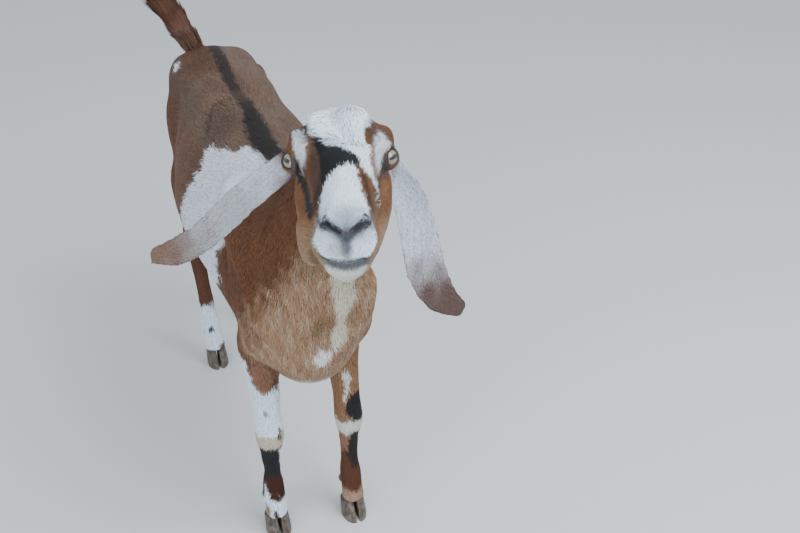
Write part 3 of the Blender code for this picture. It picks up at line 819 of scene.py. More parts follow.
# %% Make the eyeballs
CORNEA = 0.0007
eyeballs = {}
for side in SIDES:
    bpy.ops.mesh.primitive_uv_sphere_add(segments=72, ring_count=40, radius=eye_radius,
                                         location=eye_middles[side])
    ball = bpy.context.object
    ball.name = f"eyeball_{side}"
    bpy.ops.object.transform_apply(location=True)
    bpy.ops.object.shade_smooth()
    looks = eye_axes(side)[0]
    level = np.cross(np.array(UP), looks)
    level /= np.linalg.norm(level)
    rising = np.cross(looks, level)
    away = (places(ball) - np.array(eye_middles[side])) / eye_radius
    ahead = away @ looks
    bulge = CORNEA * ramp(ahead, cos(radians(46)), cos(radians(20)))
    put(ball, np.array(eye_middles[side]) + away * (eye_radius + bulge)[:, None])
    store(ball, "gaze", "FLOAT_VECTOR", np.stack([away @ level, away @ rising, ahead], 1))
    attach(ball, "root")
    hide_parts(f"eye_{side}")
    eyeballs[side] = ball
print("eyeballs", round(eye_radius * 2000, 1), "mm wide, cornea", CORNEA * 1000, "mm proud")

# %% Add the lid margins
MARGIN_RADIUS = 0.0006
margins = []
for side in SIDES:
    bpy.ops.mesh.primitive_torus_add(major_segments=80, minor_segments=8, major_radius=1.0,
                                     minor_radius=0.1)
    margin = bpy.context.object
    margin.name = f"lid_margin_{side}"
    x, y, z = places(margin).T
    out, over = (np.hypot(x, y) - 1) / 0.1, z / 0.1
    aim, looks = edge_aims(side, np.arctan2(y, x)), eye_axes(side)[0]
    aside = aim - looks * (aim @ looks)[:, None]
    aside = unit(aside - aim * (aside * aim).sum(1)[:, None])
    put(margin, np.array(eye_middles[side]) + aim * (LID_EDGE + MARGIN_RADIUS * over)[:, None]
        + aside * (MARGIN_RADIUS * out)[:, None])
    edit(margin, (bpy.ops.mesh.normals_make_consistent, {"inside": False}))
    bpy.ops.object.shade_smooth()
    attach(margin, "root")
    margins.append(margin)
print("lid margins", MARGIN_RADIUS * 2000, "mm thick")

# %% [markdown]
# ## Hooves
# Horn grows down from the coronet in rings, and the walls of a walked-on hoof are
# rounded but its sole stays flat. Copies of the hoof solids get an even mesh, are
# smoothed and then ringed.

# %% Refine hooves and dew claws
RING_STEP, RING_HEIGHT = 0.0048, 0.00022
horns = []
for node in frame["nodes"]:
    if not node.startswith(("hoof", "dew")):
        continue
    horn = merged_copy(node)
    horn.name = f"{node}_horn"
    fine = 0.0019 if node.startswith("hoof") else 0.0013
    apply_modifier(horn, "REMESH", mode="VOXEL", voxel_size=fine)
    points = fair(places(horn), edges_of(horn), HORN_ROUNDS)
    x, y, z = points.T
    rings = np.sin(2 * pi * (z + 0.22 * y) / RING_STEP + 3 * np.sin(90 * x))
    put(horn, points)
    points += normals_of(horn) * (RING_HEIGHT * rings * ramp(z, 0.004, 0.008))[:, None]
    if node.startswith("hoof"):
        points[:, 2] = np.where(points[:, 2] < 0.0011, 0.0, points[:, 2])
    put(horn, points)
    only(horn)
    bpy.ops.object.shade_smooth()
    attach(horn, "root")
    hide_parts(node)
    horns.append(horn)
print(len(horns), "pieces of horn,", sum(len(horn.data.polygons) for horn in horns), "faces")

# %% [markdown]
# ## Markings
# Her markings are areas of colour with furry edges. Each is an outline or a band laid
# on the animal, and every edge is wobbled by a few sine waves, so it looks torn as in
# a coat. One function gives the colour of any place. Skin and hair both ask it, and
# so they always agree.

# %% Tools for markings
def waves(points, size, seed):
    """Smooth random values between about -1 and 1 that change over a given size."""
    dice = np.random.default_rng(seed)
    total = np.zeros(len(points))
    for _ in range(6):
        heading = dice.normal(size=3)
        heading /= np.linalg.norm(heading)
        turns = 2 * pi / (size * dice.uniform(0.7, 1.6))
        total += np.sin(points @ heading * turns + dice.uniform(0, 2 * pi))
    return total / 3.0


def inside(flat, outline, edge):
    """1 inside a flat outline, 0 outside it, with a soft edge this wide."""
    outline = np.asarray(outline, float)
    nearest = np.full(len(flat), np.inf)
    odd = np.zeros(len(flat), bool)
    for start, end in zip(outline, np.roll(outline, -1, axis=0)):
        run = end - start
        t = np.clip((flat - start) @ run / (run @ run), 0, 1)
        nearest = np.minimum(nearest, np.linalg.norm(flat - start - t[:, None] * run, axis=1))
        crosses = (start[1] > flat[:, 1]) != (end[1] > flat[:, 1])
        reach = start[0] + (flat[:, 1] - start[1]) * run[0] / (run[1] if run[1] else 1e-9)
        odd ^= crosses & (flat[:, 0] < reach)
    return ramp(np.where(odd, nearest, -nearest), -edge, edge)


def band(flat, line, width, edge):
    """1 within this distance of a flat line, 0 beyond it."""
    line = np.column_stack([line, np.zeros(len(line))])
    solid = np.column_stack([flat, np.zeros(len(flat))])
    return ramp(off_line(line, solid)[0], width + edge, np.maximum(width - edge, 0.0))


def blob(points, place, width, edge=0.35):
    """1 in a ball round a place, 0 outside it. The edge is a share of the width."""
    away = np.linalg.norm((points - np.asarray(place)) / np.asarray(width, float), axis=1)
    return ramp(away, 1 + edge, 1 - edge)


def lay(colours, mask, colour):
    """Paint one colour over the others where the mask is 1. The array itself is changed."""
    colours += mask[:, None] * (np.asarray(colour) - colours)
    return colours


print("marking tools ready")

# %% Outlines on the head
WHITE, CREAM, GREY = (0.72, 0.84, 0.95), (0.56, 0.60, 0.55), (0.24, 0.30, 0.38)
BLACK, DARK, RED = (0.010, 0.0115, 0.013), (0.030, 0.017, 0.012), (0.118, 0.046, 0.018)
TAN, ORANGE, SAND = (0.29, 0.18, 0.11), (0.156, 0.066, 0.026), (0.38, 0.29, 0.21)
BACK_BROWN, RUMP_RED, CHESTNUT = (0.120, 0.076, 0.053), (0.100, 0.053, 0.032), (0.045, 0.012, 0.005)
FLANK_WHITE, BROW_WHITE = (0.61, 0.66, 0.75), (0.55, 0.58, 0.65)

# The face's outlines are in millimetres across and up a plane that tilts with the brow.
TOPKNOT = [(-22, 90), (-38, 74), (-44, 56), (-41, 44), (-34, 32), (-20, 25.6), (-7, 17), (4, 11.5),
           (16, 5), (20, -5), (24, -15), (32, -25), (37, -37), (41, -44.5), (36, -23), (32, -7), (33, 4),
           (29, 14), (27, 26), (28, 38), (34, 47), (36, 58), (30, 76), (16, 90)]
FOREHEAD = [(-33, 32), (-30, 29), (-30, 20), (-28, 6), (-26, -8), (-24, -28), (-16, -25), (-6, -16),
            (8, -12), (14, -11), (19, -11), (24, -14), (20, -4), (16, 6), (4, 13), (-7, 20), (-20, 28)]
BLAZE = [(8, -6), (0, -9), (-10, -14), (-17, -21), (-22, -31), (-25, -43), (-28.5, -54), (-29, -64),
         (-29, -71), (-33, -78), (-38, -88), (-37, -96), (-31, -103), (-18, -112), (0, -117), (16, -114),
         (27, -106), (33, -97), (34, -88), (31, -79), (28, -71), (28, -60), (25, -50), (20, -38),
         (18, -26), (16, -14), (13, -8)]
DARK_BROW = [(-44, 34), (-28, 32), (-22, 0), (-20, -30), (-25, -52), (-34, -56), (-39, -24), (-38, 6),
             (-36, 22)]
ABOVE_EYE = {
    "left": [(44, 35), (49, 32), (54, 27), (61, 19), (57, 11), (51, 5), (48, -2), (44, -16), (41, -22),
             (38.5, -8), (37.5, 8), (38, 22), (40, 30)],
    "right": [(-62, 36), (-50, 38), (-42, 34), (-40, 21), (-42, 4), (-47, -17), (-50, -8), (-55, 4),
              (-60, 18)],
}
BROW_GAP = [(40, 50), (36, 39), (33.5, 24), (32.5, 8), (34.5, -6), (39, -20)]
NOSTRIL_LINE = [(25, -71), (15, -75), (6, -81)]
TEARS = {
    "left": [(47, -8), (41, -28), (38, -44)],
    "right": [(-55, 1), (-50, -21), (-44, -35), (-42, -49), (-39, -63)],
}
BLAZE_EDGE = {
    "left": [(22, -12), (25, -28), (28, -44), (30, -60)],
    "right": [(-24, -18), (-28, -33), (-33, -48), (-35, -62)],
}
UNDER_EYES = ((49, -5), (-55, -4))
NOSE_SHADE_AND_LIP = [  # place, reach, edge, strength, colour: painted shade in the groove and the cleft over their grey skin, and the lip's own pinkish grey beside it
    ((0, -84), (9, 7), 0.6, 0.75, (0.100, 0.115, 0.145)),
    ((0, -93), (6.5, 17), 0.7, 0.90, (0.060, 0.070, 0.092)),
    ((-10, -98), (15, 9), 0.6, 0.50, (0.19, 0.165, 0.185))]
CHIN = [(-24, -110), (0, -120), (22, -111), (22, -122), (16, -133), (8, -141), (-3, -146), (-14, -142),
        (-22, -132), (-25, -121)]
BROW_UP = np.array((0.0, 0.508, 0.861))


def mouth_height(x):
    """Height of the mouth line across the muzzle, in the head's frame."""
    line = np.array(MOUTH)
    return np.interp(np.abs(x), line[:, 0], line[:, 2])


def on_brow(local, coarse=0.0, fine=0.0):
    """Places on the brow's plane in millimetres, wobbled by this much."""
    flat = np.stack([local[:, 0], local @ BROW_UP], 1) * 1000
    flat += np.stack([waves(local, 0.012, 3), waves(local, 0.012, 4)], 1) * coarse
    return flat + np.stack([waves(local, 0.004, 5), waves(local, 0.004, 6)], 1) * fine


def on_front(local):
    """1 on the face and the crown, 0 on the head's sides behind the eyes and below them."""
    return np.maximum(ramp(local[:, 1], 0.020, 0.000), ramp(local[:, 2], 0.000, 0.010))


def spot(flat, place, reach, edge=0.6):
    """1 in an oval on the brow's plane."""
    return ramp(np.hypot(*((flat - place) / reach).T), 1 + edge, 1 - edge)


print("outlines:", len(TOPKNOT) + len(FOREHEAD) + len(BLAZE), "places on brow, forehead and blaze")


# %% Colours of the head
def face_colours(local):
    """Her colours on the head, before the crown's long hair."""
    flat, front = on_brow(local, 1.1, 0.7), on_front(local)
    (u, v), (x, y, z) = flat.T, local.T
    colours = np.tile(np.array(ORANGE), (len(local), 1))
    lay(colours, 0.5 * ramp(waves(local * (1, 0.35, 0.35), 0.012, 7), 0.0, 0.9), (0.235, 0.115, 0.050))
    lay(colours, ramp(y, -0.02, 0.05), RED)
    lay(colours, ramp(v, -58, -92) * 0.80, TAN)
    lay(colours, ramp(v, -94, -116) * 0.7, SAND)
    lay(colours, ramp(z, -0.045, -0.075) * 0.6, SAND)
    lay(colours, inside(flat, DARK_BROW, 6.0), (0.078, 0.043, 0.030))
    lay(colours, 0.35 * ramp(u, 28, 36) * ramp(v, -30, -50), (0.115, 0.062, 0.028))
    jaw = ramp(u, -26, -34) * ramp(v, -72, -88) * ramp(v, -128, -118)
    lay(colours, 0.8 * jaw, (0.235, 0.155, 0.085))
    # Painted shade in the fold at the corner of her jaw on her right: a dark olive band.
    fold = band(flat, [(-40, -108), (-33, -119), (-26, -126)], 3.5, 4.0) * ramp(y, -0.07, -0.09)
    lay(colours, 0.75 * fold, (0.085, 0.050, 0.018))
    temple = ramp(u, 56, 61) * ramp(v, 6, 14) * ramp(y, 0.030, 0.012)
    lay(colours, temple, (0.10, 0.075, 0.068))
    for place in UNDER_EYES:
        lay(colours, 0.88 * front * spot(flat, place, (8, 16), 0.35), (0.080, 0.070, 0.072))
    wedge = band(flat, [(19, 2), (25, -18), (31, -40), (35, -62)], 7.0, 3.0)
    lay(colours, 0.50 * wedge, (0.105, 0.050, 0.024))
    for one in SIDES:
        lay(colours, 0.80 * band(flat, BLAZE_EDGE[one], 2.6, 2.4), DARK)
        wide, strength = (3.0, 0.80) if one == "left" else (4.2, 0.97)
        lay(colours, strength * front * band(flat, TEARS[one], wide, 1.8), (0.013, 0.011, 0.012))
        grown = np.array(ABOVE_EYE[one], float)
        grown = grown.mean(0) + (grown - grown.mean(0)) * 1.28 + (0, 2)
        lay(colours, 0.80 * front * inside(flat, grown, 2.5), (0.070, 0.042, 0.032))
    for one in SIDES:
        patch = inside(flat, ABOVE_EYE[one], 2.2) * (0.88 + 0.12 * waves(local, 0.006, 9))
        lay(colours, patch * front, BROW_WHITE)
    gap = band(flat, BROW_GAP, 3.4 + 2.2 * ramp(v, 28, 42), 1.8)
    lay(colours, gap * (0.92 - 0.25 * ramp(v, 25, 0)), (0.095, 0.048, 0.030))
    lay(colours, 0.55 * gap * ramp(v, 26, 6), (0.34, 0.25, 0.21))
    lay(colours, front * inside(flat, FOREHEAD, 1.8), BLACK)
    lips = np.maximum(ramp(z, -0.036, -0.022), ramp(y, -0.100, -0.114))
    nose = ramp(y, -0.085, -0.100)
    lay(colours, lips * ramp(y, 0.0, -0.02) * inside(flat, BLAZE, 1.5), WHITE)
    lay(colours, 0.86 * nose * spot(flat, (1, -69), (20, 15), 0.8), GREY)
    # Round each nostril dark grey and in it near-black: painted shade in the sculpted pit, over its dark
    # lining.
    for sign in SIDES.values():
        nostril = np.array(NOSTRIL_LINE, float) * (sign, 1)
        lay(colours, 0.80 * nose * band(flat, nostril, 6.5, 5.5), (0.120, 0.140, 0.175))
        lay(colours, 0.97 * nose * band(flat, nostril, 4.0, 2.8), (0.012, 0.013, 0.017))
        outer = spot(flat, (sign * 20.0, -72.5), (7.0, 4.6), 0.5)
        lay(colours, 0.92 * nose * outer, (0.018, 0.019, 0.024))
    # Painted shade in the nose's groove and cleft, and the lip's pinkish grey.
    for place, reach, edge, strength, colour in NOSE_SHADE_AND_LIP:
        lay(colours, strength * nose * spot(flat, place, reach, edge), colour)
    lower = ramp(y, -0.10, -0.12)
    lay(colours, lower * inside(flat, CHIN, 2.5), CREAM)
    from_mouth = off_line(MOUTH_LINE, local)[0]
    below = ramp(z - mouth_height(x), 0.000, -0.002) * ramp(from_mouth, 0.0130, 0.0090)
    lay(colours, 0.95 * below * ramp(np.abs(x), 0.032, 0.020), (0.085, 0.095, 0.11))
    # Painted shade along the crease where the lips meet.
    lip_crease_shade = ramp(from_mouth, 0.0028, 0.0014) * ramp(np.abs(x), 0.035, 0.021)
    lay(colours, 0.80 * lip_crease_shade, (0.030, 0.028, 0.028))
    flecks = waves(local, 0.0030, 12)
    left = ramp(np.abs(u - 39.5), 3.2, 1.8) * ramp(v, -22, -30) * ramp(v, -62, -54)
    lay(colours, 0.7 * left * ramp(flecks, 0.35, 0.8), WHITE)
    lay(colours, left * ramp(flecks, -0.2, -0.6), BLACK)
    right = nose * spot(flat, (-38, -70), (7, 13), 0.4)
    return lay(colours, 0.35 * right * ramp(flecks, 0.0, 1.0), WHITE)


MOUTH_LINE = mouth
print("colour at the mouth's middle:", face_colours(MOUTH)[0].round(3).tolist())

# %% Colours of neck and trunk
# Outlines in millimetres. The flank's is seen from her side (y, z), the breast's from
# her front (x, z) and the back's from above (x, y).
RIGHT_FLANK = [(110, 732), (78, 745), (41, 752), (0, 771), (-27, 784), (-70, 795), (-115, 760),
               (-110, 710),
               (-85, 675), (-63, 648), (-40, 616), (-36, 582), (-46, 566), (-30, 545), (0, 512),
               (60, 470), (150, 470), (176, 500), (168, 538), (180, 556), (153, 603), (109, 665),
               (87, 704)]
BREAST_TAN = [(24, 870), (9, 752), (0, 710), (-28, 648), (-58, 590), (-72, 515), (-66, 440), (50, 425),
              (120, 440), (140, 528), (160, 569), (170, 601), (160, 700), (104, 870)]
THROAT_CREAM = [(52, 790), (48, 720), (54, 676), (59, 643), (66, 611), (61, 573), (54, 547), (57, 528),
                (83, 538),
                (85, 560), (85, 588), (90, 606), (102, 622), (99, 660), (94, 720), (92, 790)]
BREAST_PATCH = [(19, 524), (37, 535), (60, 532), (53, 510), (35, 494), (27, 507)]
SMUDGES = [((42, 600), (15, 26)), ((33, 578), (10, 16)), ((26, 730), (16, 34)), ((75, 590), (7, 18))]
BACK_STRIPE = [(50, 470), (43, 355), (38, 275), (42, 210), (45, 135), (38, 75), (34, 5), (36, -60),
               (46, -120)]
# The line of painted shadow beside the hair whorl's ridge, seen from above.
SWIRL_SHADOW = [(-33, 140), (-24, 172), (-6, 190), (20, 199), (36, 190)]


def wobbled(flat, points, size, reach, seed):
    """Flat places moved about by waves of this size, up to about this reach."""
    return flat + np.stack([waves(points, size, seed), waves(points, size, seed + 1)], 1) * reach


def body_colours(points):
    """Her colours on neck and trunk."""
    wobble = waves(points, 0.030, 21) * 0.006 + waves(points, 0.009, 22) * 0.003
    x, y, z = points.T
    colours = np.tile(np.array(BACK_BROWN), (len(points), 1))
    lay(colours, ramp(z + wobble, 0.75, 0.69) * 0.75, (0.105, 0.050, 0.026))
    lay(colours, ramp(y + wobble, 0.26, 0.36), RUMP_RED)
    lay(colours, ramp(y, 0.0, -0.10), RED)
    lay(colours, 0.35 * ramp(waves(points * (1, 0.5, 1), 0.05, 23), 0.0, 0.9), (0.075, 0.036, 0.022))
    front = ramp(y + 0.35 * (z - 0.7), -0.16, -0.235)
    ahead = np.stack([x, z], 1) * 1000
    soft = wobbled(ahead, points, 0.030, 7, 40)
    streaks = waves(points * (3.0, 3.0, 0.45), 0.030, 24)
    lay(colours, front * inside(soft, BREAST_TAN, 14) * 0.9, TAN)
    breast = front * inside(soft, BREAST_TAN, 10)
    lay(colours, breast * 0.5 * ramp(streaks, -0.1, 0.8), SAND)
    lay(colours, breast * 0.4 * ramp(streaks, -0.2, -0.9), (0.20, 0.10, 0.05))
    for place, reach in SMUDGES:
        lay(colours, 0.7 * front * spot(soft, place, reach), (0.15, 0.095, 0.045))
    ragged = wobbled(wobbled(ahead, points, 0.030, 2.5, 40), points * (1, 1, 0.4), 0.008, 2.2, 42)
    lay(colours, 0.92 * front * inside(ragged, THROAT_CREAM, 4) * ramp(z, 0.80, 0.74), (0.55, 0.53, 0.42))
    lay(colours, front * inside(ragged, BREAST_PATCH, 3), (0.60, 0.62, 0.62))
    under = ramp(z + wobble, 0.458, 0.446) * front
    lay(colours, 0.8 * under, (0.50, 0.47, 0.42))
    side_view = wobbled(wobbled(np.stack([y, z], 1) * 1000, points, 0.022, 6, 25), points, 0.007, 3, 27)
    lay(colours, inside(side_view, RIGHT_FLANK, 3.5) * ramp(x, 0.060, 0.034), FLANK_WHITE)
    belly = ramp(z + wobble, 0.475, 0.455) * ramp(y, -0.10, -0.05) * ramp(y, 0.30, 0.22)
    lay(colours, belly * 0.8, CREAM)
    above = wobbled(wobbled(np.stack([x, y], 1) * 1000, points, 0.018, 2.5, 29), points, 0.006, 1.6, 31)
    width = 10 + 8 * ramp(y, 0.16, 0.06)
    # Painted shade in a hollow of her back, right of the stripe.
    hollow = blob(points, (-0.010, 0.130, 0.760), (0.035, 0.060, 0.05))
    lay(colours, 0.55 * hollow * ramp(z, 0.66, 0.70), (0.060, 0.038, 0.031))
    # A paler patch on top of her rump by the left hip: painted light on the hip's relief.
    lay(colours, 0.45 * blob(points, (0.085, 0.400, 0.765), (0.035, 0.120, 0.05)), (0.175, 0.125, 0.100))
    ribs = ramp(np.abs(x - MIDDLE_X), 0.085, 0.125) * ramp(y, 0.10, 0.25)
    lay(colours, 0.50 * ribs, (0.160, 0.062, 0.032))
    line = np.column_stack([BACK_STRIPE, np.zeros(len(BACK_STRIPE))])
    away = off_line(line, np.column_stack([above, np.zeros(len(above))]))[0]
    stripe = ramp(away / width, 1.35, 0.70) * ramp(z, 0.70, 0.735) * ramp(y, -0.15, -0.06)
    gap = blob(points, (0.040, 0.205, 0.775), (0.030, 0.022, 0.03))
    lay(colours, stripe * (1 - 0.3 * gap) * (0.90 + 0.1 * ramp(y, 0.2, 0.12)), (0.014, 0.010, 0.009))
    # Painted shadow cast by the ridge of the hair whorl on her back.
    lay(colours, 0.75 * band(above, SWIRL_SHADOW, 3.0, 3.5) * ramp(z, 0.70, 0.73), (0.035, 0.021, 0.016))
    return lay(colours, 0.9 * blob(points, (-0.035, 0.440, 0.757), (0.010, 0.012, 0.012)), WHITE)


print("breast outlines from", len(BREAST_TAN) + len(THROAT_CREAM), "places")

# %% Colours of the legs
# A leg's bands are (height where it starts, colour), downwards. Its patches are
# (outline seen from the front in millimetres, colour).
BANDS = {
    "foreleg_right": [(0.90, RED), (0.39, WHITE), (0.282, (0.50, 0.43, 0.33)), (0.247, BLACK),
                      (0.158, CHESTNUT), (0.095, WHITE)],
    "foreleg_left": [(0.90, RED), (0.45, (0.20, 0.108, 0.055)), (0.272, CREAM),
                     (0.236, (0.22, 0.115, 0.070)), (0.182, (0.085, 0.030, 0.014)),
                     (0.080, (0.33, 0.20, 0.145))],
    "hindleg_right": [(0.90, RUMP_RED), (0.42, (0.10, 0.040, 0.020)), (0.154, WHITE)],
    "hindleg_left": [(0.90, RUMP_RED), (0.42, (0.10, 0.040, 0.020)), (0.160, WHITE)],
}
PATCHES = {
    "foreleg_right": [
        ([(-90, 455), (-68, 455), (-65, 440), (-61, 415), (-54, 385), (-90, 385)], WHITE),
        ([(-64, 440), (-58, 405), (-49, 384), (-38, 384), (-28, 400), (-26, 440), (-45, 460)],
         (0.20, 0.095, 0.055)),
        ([(-48, 345), (-41, 346), (-40, 335), (-46, 333)], (0.16, 0.14, 0.13)),
        ([(-29, 296), (-23, 296), (-22, 268), (-28, 270)], BLACK),
        ([(-27, 236), (-15, 236), (-15, 155), (-25, 157)], WHITE),
        ([(-70, 136), (-55, 136), (-53, 100), (-49, 86), (-70, 80)], WHITE),
        ([(-34, 120), (-15, 120), (-15, 90), (-32, 98)], CHESTNUT),
        ([(-70, 82), (-55, 80), (-53, 40), (-70, 30)], TAN),
        ([(-51, 72), (-42, 74), (-36, 40), (-36, 15), (-48, 15)], (0.022, 0.018, 0.016))],
    "foreleg_left": [
        ([(100, 395), (116, 392), (110, 362), (105, 318), (101, 320), (104, 360)], (0.55, 0.56, 0.56)),
        ([(104, 323), (121, 340), (135, 335), (135, 272), (121, 272), (103, 285)], BLACK),
        ([(110, 242), (138, 246), (138, 158), (112, 150), (105, 172), (107, 206)], (0.014, 0.011, 0.010)),
        ([(112, 150), (124, 158), (128, 136), (116, 132)], (0.022, 0.014, 0.011))],
    "hindleg_right": [
        ([(-50, 106), (-40, 108), (-39, 95), (-49, 93)], BLACK),
        ([(-34, 62), (-18, 64), (-16, 34), (-30, 32)], (0.16, 0.07, 0.045))],
    "hindleg_left": [([(112, 120), (126, 124), (124, 98), (113, 100)], DARK)],
}


def leg_colours(points, name):
    """Her colours on one leg."""
    wobble = waves(points, 0.020, 33) * 0.006 + waves(points, 0.006, 34) * 0.003
    colours = np.tile(np.array(BANDS[name][0][1]), (len(points), 1))
    for height, colour in BANDS[name][1:]:
        edge = 0.005 if height < 0.40 else 0.040
        lay(colours, ramp(points[:, 2] + wobble, height + edge, height - edge), colour)
    x, y, z = points.T
    ahead = np.stack([x, z], 1) * 1000
    ahead = wobbled(wobbled(ahead, points, 0.016, 2.2, 35), points, 0.005, 1.2, 37)
    rear = 0.45 if name.startswith("hind") else -0.140
    before = ramp(y - 0.3 * np.maximum(z - 0.35, 0), rear + 0.008, rear - 0.004)
    for outline, colour in PATCHES[name]:
        lay(colours, before * inside(ahead, outline, 1.8), colour)
    return colours


print("legs:", sum(map(len, PATCHES.values())), "patches and", sum(map(len, BANDS.values())), "bands")


# %% Colours of the ears
def ear_colours(points, side):
    """A pale speckled ear that turns brown towards its tip, with painted shade at its root."""
    share = along(LINES[f"ear_{side}"], points)[0] + 0.05 * waves(points, 0.025, 43)
    speck = waves(points, 0.006, 41) + 0.8 * waves(points, 0.0026, 42)
    pale = (0.57, 0.64, 0.76) if side == "left" else (0.40, 0.43, 0.48)
    colours = np.tile(np.array(pale), (len(points), 1))
    lay(colours, 0.8 * ramp(share, 0.34, 0.18), (0.58, 0.64, 0.74))
    lay(colours, 0.55 * ramp(speck, 0.1, 1.3) * (0.6 + 0.5 * ramp(share, 0.2, 0.6)), (0.23, 0.20, 0.21))
    lay(colours, 0.78 * ramp(share, 0.50, 0.80), (0.19, 0.155, 0.145))
    tip = (0.15, 0.085, 0.060) if side == "right" else (0.075, 0.040, 0.030)
    lay(colours, 0.92 * ramp(share, 0.70, 0.92), tip)
    # Painted shade at the ear's root, where it meets the head.
    root = ramp(share, 0.16, 0.06) * ramp(waves(points, 0.03, 44), -0.3, 0.6)
    return lay(colours, 0.6 * root, (0.20, 0.15, 0.13))


print("left ear, from root to tip:", ear_colours(LINES["ear_left"], "left")[[0, -1]].round(3).tolist())


# %% Colours of any place
def coat_colours(points, shares):
    """Her colours at any places, from how far each belongs to each part."""
    local = in_head(points)
    total = np.zeros((len(points), 3))
    weights = shares.copy()
    for side in SIDES:
        ear, line = FLESH.index(f"ear_{side}"), LINES[f"ear_{side}"]
        t = along(line, points)[0]
        near = np.maximum(ramp(t, 0.16, 0.26), ramp(off_line(line, points)[0], 0.034, 0.026))
        weights[:, ear] *= near * ramp(shares[:, ear], 0.30, 0.62) * ramp(t, 0.00, 0.07)
        weights[:, 0] += shares[:, ear] - weights[:, ear]
    for index, name in enumerate(FLESH):
        chosen = weights[:, index] > 0.002
        if not chosen.any():
            continue
        here = points[chosen]
        if name == "head":
            part = face_colours(local[chosen])
        elif name in ("neck", "trunk"):
            part = body_colours(here)
        elif name == "tail":
            part = lay(np.tile(np.array((0.078, 0.031, 0.017)), (len(here), 1)),
                       ramp(waves(here, 0.02, 51), -0.1, 0.9) * 0.6, (0.024, 0.013, 0.009))
            part = lay(part, ramp(here[:, 2], 0.80, 0.76) * 0.7, (0.115, 0.068, 0.050))
        elif "leg" in name:
            part = leg_colours(here, name)
            part += ramp(here[:, 2], 0.44, 0.50)[:, None] * (body_colours(here) - part)
        else:
            part = ear_colours(here, name[4:])
        total[chosen] += part * weights[chosen, index][:, None]
    total /= np.maximum(weights.sum(1), 1e-6)[:, None]
    top = inside(on_brow(local, 0.8, 0.5), TOPKNOT, 1.3)
    top = top * ramp(local[:, 1], 0.116, 0.104) * on_front(local)
    top *= ramp(local[:, 2], -0.035, -0.025) * np.clip(shares[:, 0] + shares[:, 1], 0, 1)
    return lay(total, top, WHITE)


points = places(skin)
skin_colours = coat_colours(points, shares)
print("mean colour of the skin", [round(float(c), 3) for c in skin_colours.mean(0)])

# %% [markdown]
# ## Paints
# Hair and skin take their colour from the coat attribute. Hair has a broad dull gleam
# and no bump, because each lock is real geometry. Bare skin has a fine grain. The eye
# is drawn from its gaze attribute: a dark slit with rounded ends, pale fibres round
# it, a dark rim, and a clear wet coat over all.

# %% Small helpers for shader nodes
def group(name, inputs, outputs):
    """A new shader node group with named sockets, and its two ends."""
    tree = bpy.data.node_groups.new(name, "ShaderNodeTree")
    for direction, sockets in (("INPUT", inputs), ("OUTPUT", outputs)):
        for socket, kind, value in sockets:
            made = tree.interface.new_socket(socket, in_out=direction, socket_type=f"NodeSocket{kind}")
            if value is not None:
                made.default_value = value
    return tree, tree.nodes.new("NodeGroupInput"), tree.nodes.new("NodeGroupOutput")


def wire(tree, kind, settings=None, **links):
    """Add a node, set its fields, and link or fill the inputs named by number, as in i0 or i1."""
    node = tree.nodes.new(f"ShaderNode{kind}")
    for key, value in (settings or {}).items():
        setattr(node, key, value)
    for key, value in links.items():
        socket = node.inputs[int(key[1:])]
        if isinstance(value, bpy.types.NodeSocket):
            tree.links.new(value, socket)
        else:
            socket.default_value = value
    return node


def sums(tree, operation, first, second=0.0):
    """The result of one sum on two numbers."""
    return wire(tree, "Math", {"operation": operation}, i0=first, i1=second).outputs[0]


def step_up(tree, value, low, high):
    """A smooth rise from 0 at low to 1 at high."""
    node = wire(tree, "MapRange", {"interpolation_type": "SMOOTHSTEP"}, i0=value, i1=low, i2=high)
    return node.outputs[0]


def blend(tree, share, first, second):
    """One colour turning into another."""
    node = wire(tree, "Mix", {"data_type": "RGBA"})
    for index, value in ((0, share), (6, first), (7, second)):
        if isinstance(value, bpy.types.NodeSocket):
            tree.links.new(value, node.inputs[index])
        else:
            node.inputs[index].default_value = value if index == 0 else (*value, 1.0)
    return node.outputs[2]


def feed(tree, shader, **sources):
    """Link sources to the shader's named inputs."""
    for key, source in sources.items():
        tree.links.new(source, shader.inputs[key.replace("_", " ")])


def scaled(tree, share, low, high, most):
    """A smooth rise from 0 at low to this most at high."""
    return sums(tree, "MULTIPLY", step_up(tree, share, low, high), most)


grain, ends_in, ends_out = group("fine grain", [("Place", "Vector", None), ("Scale", "Float", 400.0),
                                                ("Strength", "Float", 0.2)],
                                 [("Value", "Float", None), ("Normal", "Vector", None)])
noise = wire(grain, "TexNoise", i0=ends_in.outputs[0], i2=ends_in.outputs[1], i3=4.0)
bumps = wire(grain, "Bump", {}, i0=ends_in.outputs[2], i1=0.0006)
grain.links.new(noise.outputs[0], next(i for i in bumps.inputs if i.name == "Height"))
grain.links.new(noise.outputs[0], ends_out.inputs[0])
grain.links.new(bumps.outputs[0], ends_out.inputs[1])
print("helpers and", grain.name, "ready")

# %% Mix the paints
hair_paint, tree, shader = painted("coat hair", 0.58, Specular_IOR_Level=0.20)
feed(tree, shader, Base_Color=wire(tree, "Attribute", {"attribute_name": "coat"}).outputs[0])

